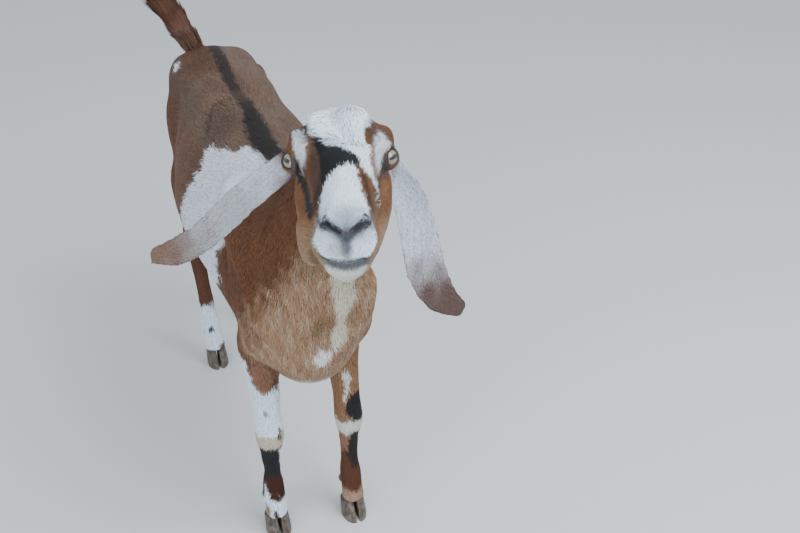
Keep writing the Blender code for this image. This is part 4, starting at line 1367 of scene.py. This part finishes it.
skin_paint, tree, shader = painted("goat skin", 0.62, Specular_IOR_Level=0.32)
coat = wire(tree, "Attribute", {"attribute_name": "coat"}).outputs[0]
bare = wire(tree, "Attribute", {"attribute_name": "bare"}).outputs[2]
place = wire(tree, "TexCoord").outputs["Object"]
fine = wire(tree, "Group", {"node_tree": grain}, i0=place, i1=900.0, i2=0.35)
mottled = wire(tree, "Mix", {"data_type": "RGBA", "blend_type": "MULTIPLY"})
mottled.inputs[0].default_value = 1.0
tree.links.new(coat, mottled.inputs[6])
tree.links.new(blend(tree, step_up(tree, fine.outputs[0], 0.3, 0.7), (0.72, 0.70, 0.70), (1.0, 1.0, 1.0)),
               mottled.inputs[7])
feed(tree, shader, Base_Color=mottled.outputs[2], Normal=fine.outputs[1],
     Roughness=sums(tree, "SUBTRACT", 0.62, sums(tree, "MULTIPLY", bare, 0.30)))

lid_paint = painted("lid skin", 0.32, Base_Color=(0.022, 0.015, 0.013, 1.0))[0]

horn_paint, tree, shader = painted("hoof horn", 0.46, Specular_IOR_Level=0.4)
place = wire(tree, "TexCoord").outputs["Object"]
drawn = wire(tree, "Mapping", {}, i0=place)
drawn.inputs["Scale"].default_value = (260.0, 260.0, 45.0)
streaks = wire(tree, "TexNoise", i0=drawn.outputs[0], i2=1.0, i3=3.0).outputs[0]
cloud = wire(tree, "TexNoise", i0=place, i2=70.0, i3=3.0).outputs[0]
colour = blend(tree, step_up(tree, streaks, 0.35, 0.68), (0.040, 0.032, 0.028), (0.115, 0.090, 0.070))
colour = blend(tree, scaled(tree, cloud, 0.48, 0.66, 0.5), colour, (0.20, 0.165, 0.125))
height = wire(tree, "SeparateXYZ", i0=place).outputs[2]
colour = blend(tree, scaled(tree, height, 0.012, 0.0, 0.6), colour, (0.13, 0.105, 0.080))
fine = wire(tree, "Group", {"node_tree": grain}, i0=drawn.outputs[0], i1=1.6, i2=0.25)
feed(tree, shader, Base_Color=colour, Normal=fine.outputs[1])
print("mixed:", [paint.name for paint in (hair_paint, skin_paint, lid_paint, horn_paint)])

# %% Paint the eye
eye_paint, tree, shader = painted("eye paint", 0.12, Coat_Weight=1.0, Coat_Roughness=0.02)
gaze = wire(tree, "Attribute", {"attribute_name": "gaze"}).outputs[1]
across, rising, ahead = wire(tree, "SeparateXYZ", i0=gaze).outputs
SLIT_WIDE, SLIT_HIGH = 0.42, 0.16
IRIS = 0.70
wide, high = (sums(tree, "POWER", sums(tree, "DIVIDE", sums(tree, "ABSOLUTE", value), reach), 4.0)
              for value, reach in ((across, SLIT_WIDE), (rising, SLIT_HIGH)))
slit = sums(tree, "ADD", wide, high)
from_pupil = sums(tree, "SQRT", sums(tree, "ADD", sums(tree, "MULTIPLY", across, across),
                                     sums(tree, "MULTIPLY", rising, rising)))
turned = sums(tree, "ARCTAN2", rising, across)
fibre_place = wire(tree, "CombineXYZ", i0=sums(tree, "MULTIPLY", sums(tree, "COSINE", turned), 9.0),
                   i1=sums(tree, "MULTIPLY", sums(tree, "SINE", turned), 9.0),
                   i2=sums(tree, "MULTIPLY", from_pupil, 3.0)).outputs[0]
fibres = wire(tree, "TexNoise", i0=fibre_place, i2=1.6, i3=4.0).outputs[0]
iris = blend(tree, step_up(tree, fibres, 0.36, 0.66), (0.17, 0.14, 0.08), (0.30, 0.27, 0.19))
iris = blend(tree, scaled(tree, slit, 4.0, 1.0, 0.40), iris, (0.11, 0.08, 0.045))
iris = blend(tree, step_up(tree, from_pupil, IRIS - 0.12, IRIS), iris, (0.035, 0.022, 0.016))
iris = blend(tree, step_up(tree, from_pupil, IRIS + 0.04, IRIS + 0.14), iris, (0.30, 0.23, 0.19))
pupil = step_up(tree, slit, 1.25, 0.85)
feed(tree, shader, Base_Color=blend(tree, pupil, iris, (0.006, 0.006, 0.011)))
for item in eyeballs.values():
    item.data.materials.append(eye_paint)
for item in margins:
    item.data.materials.append(lid_paint)
for item in horns:
    item.data.materials.clear()
    item.data.materials.append(horn_paint)
print(eye_paint.name, "on the eyeballs,", lid_paint.name, "on the lid margins,", horn_paint.name, "on",
      len(horns), "pieces")

# %% [markdown]
# ## The lie of the coat
# Hair lies back from the nose, down the cheeks, along the neck and trunk, down the
# legs and out to the tips of ears and tail. A heading is given to every vertex of the
# skin by its part, then neighbours are averaged and each heading is laid flat on the
# skin, as a groom would draw it with a brush.

# %% Comb the coat
def laid_flat(vectors, normals):
    """Vectors turned to lie along the surface."""
    return unit(vectors - normals * (vectors * normals).sum(1)[:, None])


def crown_lie(local):
    """Headings of the crown's hair: forward over the brow, and sideways on her right lobe."""
    u, v = on_brow(local).T
    right_lobe = ramp(u, 2, -20) * ramp(v, 14, 30)
    strip = ramp(v, 14, -4)
    across = 0.05 - 0.95 * right_lobe + 0.45 * strip - 0.25 * ramp(u, 8, 26) * ramp(v, 24, 44)
    down = -1.0 + 0.62 * right_lobe + 0.10 * strip
    ahead = np.stack([across, down * BROW_UP[1], down * BROW_UP[2]], 1)
    behind = ramp(local[:, 1], 0.060, 0.080)[:, None]
    return unit(ahead + behind * (np.array((0.0, 1.0, -0.4)) - ahead))


def head_lie(local):
    """Headings of the coat on the head, in world directions."""
    side = np.sign(local[:, 0]) * ramp(np.abs(local[:, 0]), 0.012, 0.045)
    lie = np.stack([0.35 * side, np.ones(len(local)), 0.10 + 0 * side], 1)
    cheek = ramp(local[:, 2], -0.005, -0.035)[:, None]
    lie += cheek * (np.array((0.0, 0.75, -0.75)) - lie)
    lips = (ramp(local[:, 1], -0.120, -0.140) * ramp(local[:, 2], 0.004, -0.010))[:, None]
    lie += lips * (np.stack([0.9 * side, 0.2 + 0 * side, -0.9 + 0 * side], 1) - lie)
    muzzle = (ramp(local[:, 1], -0.105, -0.130) * ramp(local[:, 2], -0.010, 0.002))[:, None]
    lie += muzzle * (np.stack([0.6 * side, 0.9 + 0 * side, 0.3 + 0 * side], 1) - lie)
    crown = crown_share(local)[:, None]
    lie += crown * (crown_lie(local) - lie)
    return from_head(unit(lie))


def comb(points, local, normals, edges):
    """A heading along the skin for every vertex."""
    x, y, z = points.T
    lie = np.zeros((len(points), 3))
    one = np.ones(len(points))
    for index, name in enumerate(FLESH):
        if name == "head":
            part = head_lie(local)
        elif name == "neck":
            front = ramp(-normals[:, 1], -0.2, 0.6)
            part = np.stack([0 * x, 0.50 - 0.35 * front, -0.80 - 0.2 * front], 1)
        elif name == "trunk":
            flank = ramp(normals[:, 2], 0.8, 0.1)
            chest = ramp(y, -0.12, -0.22)
            part = np.stack([0 * x, one - 0.95 * chest, -0.05 - 0.50 * flank - 0.45 * chest], 1)
            part[:, 0] += 0.25 * np.sign(x - MIDDLE_X) * ramp(normals[:, 2], 0.3, 0.9)
        elif "leg" in name:
            part = np.stack([0 * x, 0.16 * one, -one], 1)
        elif name == "tail":
            part = along(LINES["tail"], points)[2] + 0.25 * normals
        else:
            part = along(LINES[name], points)[2]
        lie += shares[:, index][:, None] * unit(part)
    drift = np.stack([waves(points, 0.09, 71), waves(points, 0.09, 72), waves(points, 0.09, 73)], 1)
    for side in SIDES:
        distance, across, rising = gaze_angles(points, side)
        round_eye = (ramp(distance, 0.034, 0.020) * (shares[:, 0] > 0.5))[:, None]
        _, level, upper = eye_axes(side)
        outward = level * 0.8 + upper * np.sign(rising)[:, None] * 0.8
        outward = unit(outward + level * across[:, None] * 0.3)
        lie += round_eye * 0.8 * (outward - lie)
    lie = laid_flat(unit(lie) + 0.10 * drift, normals)
    return laid_flat(spread(lie, edges, 6), normals)


normals = unit(spread(normals_of(skin), edges, 2))
local = in_head(points)
lie = comb(points, local, normals, edges)
print("combed", len(lie), "vertices, mean heading", [round(float(c), 2) for c in lie.mean(0)])

# %% [markdown]
# ## Locks of hair
# Single hairs are too many, so the coat is made of small locks: closed slivers that
# are thin, overlap like tiles and lie along the comb's heading. A short lock is a
# root, a ring of three corners and a tip, six triangles in all. Long hair has more
# rings, so that it can bend. All locks of a region are written into one mesh at once.

# %% Choose length, width and spacing of locks
def lock_sizes(points, local, shares):
    """Length, width and lift of the locks at each vertex, and how many grow on a square metre."""
    table = {  # length, width, lift, number on a square centimetre
        "head": (0.0080, 0.0009, 0.10, 46), "neck": (0.0160, 0.0016, 0.06, 14.5),
        "trunk": (0.0165, 0.0018, 0.055, 11.5), "tail": (0.0200, 0.0016, 0.30, 30),
        "foreleg": (0.0135, 0.0017, 0.07, 11.5), "hindleg": (0.0145, 0.0018, 0.07, 11),
        "ear": (0.0055, 0.0010, 0.09, 38)}
    sizes = shares @ np.array([table[name.split("_")[0]] for name in FLESH])
    legs = shares[:, [FLESH.index(name) for name in FLESH if "leg" in name]].sum(1)
    head = shares[:, FLESH.index("head")]
    breast = (shares[:, 1] + shares[:, 2]) * ramp(points[:, 1], -0.20, -0.24)
    lay(sizes, legs * ramp(points[:, 2], 0.42, 0.25), (0.0082, 0.0014, 0.08, 20))
    lay(sizes, head * ramp(local[:, 1], -0.075, -0.130), (0.0048, 0.0008, 0.10, 62))
    lay(sizes, breast, (0.0180, 0.0015, 0.10, 18))
    ring = np.full(len(points), FAR)
    for side in SIDES:
        distance, across, rising = gaze_angles(points, side)
        ring = np.minimum(ring, np.where(distance < 0.026, almond(across, rising), FAR))
    from_mouth = off_line(MOUTH_LINE, local)[0]
    lay(sizes, head * ramp(ring, 5.0, 1.6), (0.0042, 0.0007, 0.08, 75))
    lay(sizes, head * ramp(from_mouth, 0.0085, 0.0030), (0.0026, 0.0006, 0.06, 80))
    bare = (ring < 1.12) | (from_mouth < 0.0018) | (points[:, 2] < 0.012)
    for line in both(NOSTRIL):
        bare |= off_line(line, local)[0] < 0.0056
    sizes[bare, 3] = 0
    return sizes


sizes = lock_sizes(points, local, shares)
print("skin", round(sum(polygon.area for polygon in skin.data.polygons), 3), "square metres; locks",
      span(sizes[:, 0]), "long")

# %% Unwrap the skin, region by region
REGIONS = ("muzzle", "face", "head_back", "neck", "trunk_front", "trunk_back", "forelegs", "hindlegs",
           "ears", "tail")


def region_of(points, local, shares):
    """The region whose mesh holds the locks of each place."""
    owner = np.array([name.split("_")[0] for name in FLESH])[shares.argmax(1)]
    head, forward = owner == "head", local[:, 1]
    region = np.full(len(points), REGIONS.index("trunk_back"))
    for name, chosen in (
            ("trunk_front", (owner == "trunk") & (points[:, 1] < 0.16)),
            ("neck", owner == "neck"), ("tail", owner == "tail"), ("ears", owner == "ear"),
            ("forelegs", owner == "foreleg"), ("hindlegs", owner == "hindleg"), ("head_back", head),
            ("face", head & (forward < -0.005)), ("muzzle", head & (forward < -0.085))):
        region[chosen] = REGIONS.index(name)
    return region


def unwrapped_region(chosen):
    """Triangles of some of the skin's faces: vertex numbers and places on an unwrap of their own."""
    twin = skin.copy()
    twin.data = skin.data.copy()
    bpy.context.scene.collection.objects.link(twin)
    number = twin.data.attributes.new("number", "INT", "POINT")
    number.data.foreach_set("value", np.arange(len(twin.data.vertices), dtype=np.int32))
    edit(twin, (bpy.ops.mesh.delete, {"type": "FACE"}), (bpy.ops.mesh.select_all, {"action": "SELECT"}),
         (bpy.ops.uv.smart_project, {"angle_limit": radians(70), "island_margin": 0.004}),
         chosen=~chosen, kind="FACE")
    mesh = twin.data
    mesh.calc_loop_triangles()
    corners = read(mesh.loop_triangles, "vertices", 3, np.int32)
    loops = read(mesh.loop_triangles, "loops", 3, np.int32)
    flat = read(mesh.uv_layers.active.uv, "vector", 2).astype(float)
    numbers = read(mesh.attributes["number"].data, "value", 1, np.int32)
    bpy.data.objects.remove(twin)
    return numbers[corners], flat[loops]


first_corners = read(skin.data.polygons, "loop_start", 1, np.int32)
corner_list = read(skin.data.loops, "vertex_index", 1, np.int32)
face_region = region_of(points, local, shares)[corner_list[first_corners]]
charts = {name: unwrapped_region(face_region == index) for index, name in enumerate(REGIONS)}
print({name: len(chart[0]) for name, chart in charts.items()}, "triangles")

# %% Write locks into a mesh
PATCH = 0.0030                 # how wide one lock's place on the unwrap is


def lock_mesh(name, centres, sides, ups, widths, normals, flat, colours, thick=0.45):
    """One mesh of locks, each through its row of centres, with three corners at each inner one."""
    count, stations = centres.shape[:2]
    inner = stations - 2
    corners = [centres[:, :1]]
    shades = [normals[:, None]]
    spots = [flat[:, None]]
    for step in range(1, stations - 1):
        wide = widths[step] if np.ndim(widths[step]) else widths[step] * np.ones(count)
        for across, over in ((-1.0, 0.0), (0.0, thick), (1.0, 0.0)):
            offset = sides * (across * wide / 2)[:, None] + ups[:, step] * (over * wide)[:, None]
            corners.append((centres[:, step] + offset)[:, None])
            shades.append(unit(normals + 0.45 * across * sides)[:, None])
            spots.append((flat + PATCH * np.array((0.45 * across, step / stations - 0.5)))[:, None])
    corners.append(centres[:, -1:])
    shades.append(normals[:, None])
    spots.append((flat + (0, PATCH * 0.5))[:, None])
    corners, shades, spots = (np.concatenate(rows, 1) for rows in (corners, shades, spots))
    per_lock = corners.shape[1]
    faces = [(0, 1, 2), (0, 2, 3), (0, 3, 1)]
    for step in range(inner - 1):
        low, high = 1 + 3 * step, 4 + 3 * step
        for a, b in ((0, 1), (1, 2), (2, 0)):
            faces += [(low + a, high + a, high + b), (low + a, high + b, low + b)]
    last, tip = 1 + 3 * (inner - 1), per_lock - 1
    faces += [(last, tip, last + 1), (last + 1, tip, last + 2), (last + 2, tip, last)]
    faces = np.array(faces, np.int32)
    whole = (faces[None] + (np.arange(count, dtype=np.int32) * per_lock)[:, None, None]).reshape(-1)
    mesh = bpy.data.meshes.new(name)
    mesh.vertices.add(count * per_lock)
    mesh.vertices.foreach_set("co", corners.astype(np.float32).ravel())
    mesh.loops.add(len(whole))
    mesh.loops.foreach_set("vertex_index", whole)
    mesh.polygons.add(len(whole) // 3)
    mesh.polygons.foreach_set("loop_start", np.arange(0, len(whole), 3, dtype=np.int32))
    mesh.update(calc_edges=True)
    item = bpy.data.objects.new(name, mesh)
    bpy.context.scene.collection.objects.link(item)
    store(item, "custom_normal", "FLOAT_VECTOR", shades)
    unwrap = mesh.uv_layers.new(name="OFBake").uv
    unwrap.foreach_set("vector", spots.reshape(-1, 2)[whole].astype(np.float32).ravel())
    # Each lock is painted darker at its root, as painted shade under the locks over it, and a little
    # lighter at its tip.
    root_shade_to_tip = np.interp(np.arange(per_lock), (0, 1, per_lock - 1), (0.88, 0.97, 1.05))
    store(item, "coat", "FLOAT_COLOR", (colours[:, None, :] * root_shade_to_tip[None, :, None]).reshape(-1, 3))
    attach(item, "root")
    item.data.materials.append(hair_paint)
    return item


print("locks are patches", PATCH, "wide on the unwrap")


# %% Sow places on the skin
def fitted(flat):
    """Places on an unwrap stretched to fill the square, less a margin for a patch."""
    low, high = flat.reshape(-1, 2).min(0), flat.reshape(-1, 2).max(0)
    return 0.006 + (flat - low) / (high - low) * 0.988


def sown(chart, crowd, dice):
    """Random places on a region's triangles, by how many grow on a square centimetre.

    Gives their places on the unwrap and in the world, the skin's normals there, and a
    function that blends any values of the skin's vertices at those places.
    """
    triangles, flat = chart
    a, b, c = (points[triangles[:, k]] for k in range(3))
    areas = np.linalg.norm(np.cross(b - a, c - a), axis=1) / 2
    wanted = areas * crowd[triangles].mean(1) * 1e4
    wanted[(crowd[triangles] <= 0).any(1)] = 0
    count = int(round(wanted.sum()))
    steps = (np.arange(count) + dice.random(count)) / count * wanted.sum()
    picked = np.minimum(np.searchsorted(np.cumsum(wanted), steps), len(triangles) - 1)
    r, t = np.sqrt(dice.random(count)), dice.random(count)
    parts = np.stack([1 - r, r * (1 - t), r * t], 1)[:, :, None]

    def there(values):
        return (values[triangles[picked]] * parts).sum(1)

    return (fitted(flat)[picked] * parts).sum(1), there(points), unit(there(normals)), there


print("at most", int(sizes[:, 3].max()), "short locks on a square centimetre")

# %% [markdown]
# Each short lock starts just under the skin and ends a little above it. Where the body
# curves away, a straight lock would stick out like a quill, so the place on the skin
# nearest to its tip is looked up and the tip is set there, at its own small height.

# %% Grow the short coat
surface = BVHTree.FromObject(skin, bpy.context.evaluated_depsgraph_get())


def onto_skin(targets):
    """The skin's nearest place to each target and its normal there."""
    found = [surface.find_nearest(target) for target in targets.tolist()]
    return np.array([f[0] for f in found]), np.array([f[1] for f in found])


def varied(colours, dice):
    """Colours with a little variation from lock to lock, less on white hair."""
    light = colours.mean(1)
    swing = np.where(light > 0.35, 0.05, 0.12)
    return np.clip(colours * np.exp(dice.normal(size=len(colours)) * swing)[:, None], 0, 0.96)


PIECE_LOCKS = 32000            # 192,000 triangles of short locks
DEPTH = 0.0004                 # how far below the skin a lock starts
coat_pieces = []
for number, name in enumerate(REGIONS):
    if name == "tail":
        continue
    dice = np.random.default_rng(100 + number)
    flat, roots, up, there = sown(charts[name], sizes[:, 3], dice)
    size, heading, count = there(sizes), unit(there(lie)), len(roots)
    side = np.cross(up, heading)
    sway = dice.normal(size=count) * 0.16 + 0.20 * waves(roots, 0.03, 81)
    heading = laid_flat(heading + side * sway[:, None], up)
    side = np.cross(up, heading)
    length = size[:, 0] * dice.uniform(0.75, 1.25, count)
    tips, tip_up = onto_skin(roots + heading * length[:, None])
    height = length * size[:, 2] * dice.uniform(0.35, 1.25, count)
    tips = tips + tip_up * (height + 0.0001)[:, None]
    middle_up = (0.30 * height + 0.12 * size[:, 1])[:, None]
    centres = np.stack([roots - up * DEPTH, roots + (tips - roots) * 0.40 + up * middle_up, tips], 1)
    strayed = length * 0.16 * dice.normal(size=count)
    looked_at = roots + heading * strayed[:, None] + dice.normal(size=(count, 3)) * 0.0007
    colours = varied(coat_colours(looked_at, there(shares)), dice)
    parts = -(-count // PIECE_LOCKS)
    for part in range(parts):
        pick = slice(part, None, parts)
        coat_pieces.append(lock_mesh(
            f"coat_{name}_{part + 1}", centres[pick], side[pick], np.repeat(up[pick, None], 3, 1),
            [0, size[pick, 1], 0], up[pick], flat[pick], colours[pick], 0.28))
    print(name, count, "locks in", parts, "pieces")

# %% [markdown]
# The crown carries long white hair that parts into two lobes and falls forward over
# the brow. Each lock is walked forward in steps. At every step its heading is laid flat
# again, so it follows the skull, and its height above the skin rises and falls.

# %% Grow the crown's long hair
def walked(roots, up, heading, length, height, stations, sway, dice):
    """Centres of long locks that follow the skin, and the skin's normals under them."""
    count = len(roots)
    side = np.cross(up, heading)
    phase, turns = dice.uniform(0, 2 * pi, count), dice.uniform(0.6, 1.3, count)
    centres, ups = [roots - up * 0.0005], [up]
    place, way = roots, heading
    for step in range(1, stations):
        t = step / (stations - 1)
        place, over = onto_skin(place + way * (length / (stations - 1))[:, None])
        way = laid_flat(way, over)
        swing = side * (sway * t * np.sin(2 * pi * turns * t + phase))[:, None]
        rise = height * (0.30 + 2.2 * t * (1 - t) + 0.25 * t)
        centres.append(place + over * rise[:, None] + swing)
        ups.append(over)
    return np.stack(centres, 1), np.stack(ups, 1), side


CROWN_CROWD = 58               # long locks on a square centimetre
crown = crown_share(local) * shares[:, 0] * inside(on_brow(local), TOPKNOT, 3.0)
dice = np.random.default_rng(201)
flat, roots, up, there = sown(charts["head_back"], crown * CROWN_CROWD, dice)
heading = laid_flat(unit(there(lie)) + dice.normal(size=roots.shape) * 0.14, up)
count = len(roots)
length = dice.uniform(0.012, 0.021, count)
lobe = ramp(in_head(roots)[:, 0], -0.012, -0.034)
length *= 1 + 0.35 * lobe
high = dice.uniform(0.0015, 0.0048, count) * (1 + 0.7 * lobe)
tips = in_head(walked(roots, up, heading, length, high, 6, 0.0009, dice)[0][:, -1])
length *= 0.45 + 0.55 * inside(on_brow(tips), TOPKNOT, 2.0)     # short where they'd hang over black
centres, ups, side = walked(roots, up, heading, length, high, 6, 0.0009, dice)
wide = dice.uniform(0.0008, 0.0013, count)
colours = varied(lay(coat_colours(roots, there(shares)), np.full(count, 0.85), WHITE), dice)
keep = inside(on_brow(in_head(centres[:, -1])), TOPKNOT, 2.0) > 0.25
widths = [wide[keep] * share for share in (0, 0.8, 1.0, 0.95, 0.65, 0)]
coat_pieces.append(lock_mesh("coat_crown", centres[keep], side[keep], ups[keep], widths, up[keep],
                             flat[keep], colours[keep]))
print("crown:", int(keep.sum()), "long locks")

# %% Grow the tail's fringe
TAIL_CROWD = 28                # long locks on a square centimetre
dice = np.random.default_rng(202)
flat, roots, up, there = sown(charts["tail"], np.full(len(points), TAIL_CROWD), dice)
count = len(roots)
share = along(LINES["tail"], roots)[0]
bends = unit(np.gradient(LINES["tail"], axis=0))
steps = np.linspace(0, 1, len(bends))
heading = unit(np.stack([np.interp(share, steps, bends[:, k]) for k in range(3)], 1))
side = unit(np.cross(up, heading))
length = (dice.uniform(0.026, 0.044, count) * (1 + 0.45 * ramp(share, 0.40, 0.70)))[:, None]
taper = ramp(share, 0.60, 0.85)
flare = dice.uniform(0.07, 0.22, count) * (1 - taper) * (0.55 + 0.45 * ramp(share, 0.08, 0.30))
flare = (flare - 0.16 * taper)[:, None]
lean = dice.normal(size=(count, 1)) * 0.10
centres = np.stack([roots + length * t * (heading + side * lean)
                    + up * (length * flare * t * (1.5 - 0.5 * t) - DEPTH)
                    for t in np.linspace(0, 1, 6)], 1)
wide = dice.uniform(0.0012, 0.0021, count)
widths = [wide * share for share in (0, 0.8, 1.0, 0.9, 0.6, 0)]
colours = varied(coat_colours(roots, there(shares)), dice)
coat_pieces.append(lock_mesh("coat_tail", centres, side, np.repeat(up[:, None], 6, 1), widths, up, flat,
                             colours))
print("tail:", count, "long locks")

# %% Grow the lashes
LASHES = 54
dice = np.random.default_rng(203)
rows = []
for row, side in enumerate(SIDES):
    _, across, rising = lid_axes(side)
    turns = np.linspace(radians(28), radians(152), LASHES) + dice.normal(size=LASHES) * 0.02
    aim = edge_aims(side, turns)
    away = 0.25 * rising + across * 0.25 * np.cos(turns)[:, None] + dice.normal(size=(LASHES, 3)) * 0.07
    rows.append((np.array(eye_middles[side]) + aim * (LID_EDGE + 0.0004) + rising * 0.0006,
                 unit(aim + away), np.tile(rising, (LASHES, 1)),
                 np.stack([(np.arange(LASHES) + 0.5) / LASHES, np.full(LASHES, 0.12 + 0.76 * row)], 1)))
roots, aims, ups, flats = (np.concatenate(values) for values in zip(*rows))
length = dice.uniform(0.005, 0.0085, len(roots))[:, None]
centres = np.stack([roots + aims * length * t - ups * length * 0.35 * t * t
                    for t in np.linspace(0, 1, 5)], 1)
coat_pieces.append(lock_mesh(
    "lashes", centres, unit(np.cross(ups, aims)), np.repeat(ups[:, None], 5, 1),
    [0, 0.00042, 0.00036, 0.00026, 0], unit(ups + aims), flats * 0.98 + 0.01,
    np.tile(np.array((0.05, 0.035, 0.03)), (len(roots), 1))))
print("lashes:", len(roots))

# %% [markdown]
# ## The skin under it
# The skin carries the same markings, painted darker as shade between hairs. Lips,
# nostrils and lids are bare, dark and slightly wet.

# %% Paint the skin
SKIN_SHADE = 0.80               # how much darker the skin is painted than the hair next to it: painted shade between hairs
on_head = shares[:, 0]
from_nostril = np.minimum(*(off_line(line, local)[0] for line in both(NOSTRIL)))
# Painted shade along the crease where the lips meet.
lip_crease_shade = ramp(np.abs(local[:, 0]), 0.037, 0.024) * ramp(off_line(MOUTH_LINE, local)[0], 0.0024, 0.0012)
tone = skin_colours * SKIN_SHADE
# Dark grey round the nostrils and near-black in them: painted shade in the pits, over their dark lining.
lay(tone, ramp(from_nostril, 0.0062, 0.0040) * on_head, (0.060, 0.058, 0.068))
lay(tone, ramp(from_nostril, 0.0034, 0.0018) * on_head, (0.012, 0.010, 0.011))
lay(tone, lip_crease_shade * on_head, (0.030, 0.024, 0.025))
lay(tone, ramp(opening, 1.5, 1.15), (0.020, 0.014, 0.012))
store(skin, "coat", "FLOAT_COLOR", tone)
store(skin, "bare", "FLOAT", ramp(sizes[:, 3], 8.0, 1.0))
skin.data.materials.clear()
skin.data.materials.append(skin_paint)
skin.name = "skin"
only(skin)
bpy.ops.object.shade_smooth()
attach(skin, "root")
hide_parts(*FLESH)
triangles = {item.name: sum(len(p.vertices) - 2 for p in item.data.polygons) for item in (skin, *horns)}
locks = {item.name: len(item.data.polygons) for item in coat_pieces}
print("skin", triangles["skin"], "horn", sum(triangles.values()) - triangles["skin"],
      "coat", sum(locks.values()), "largest", max(locks.values()))
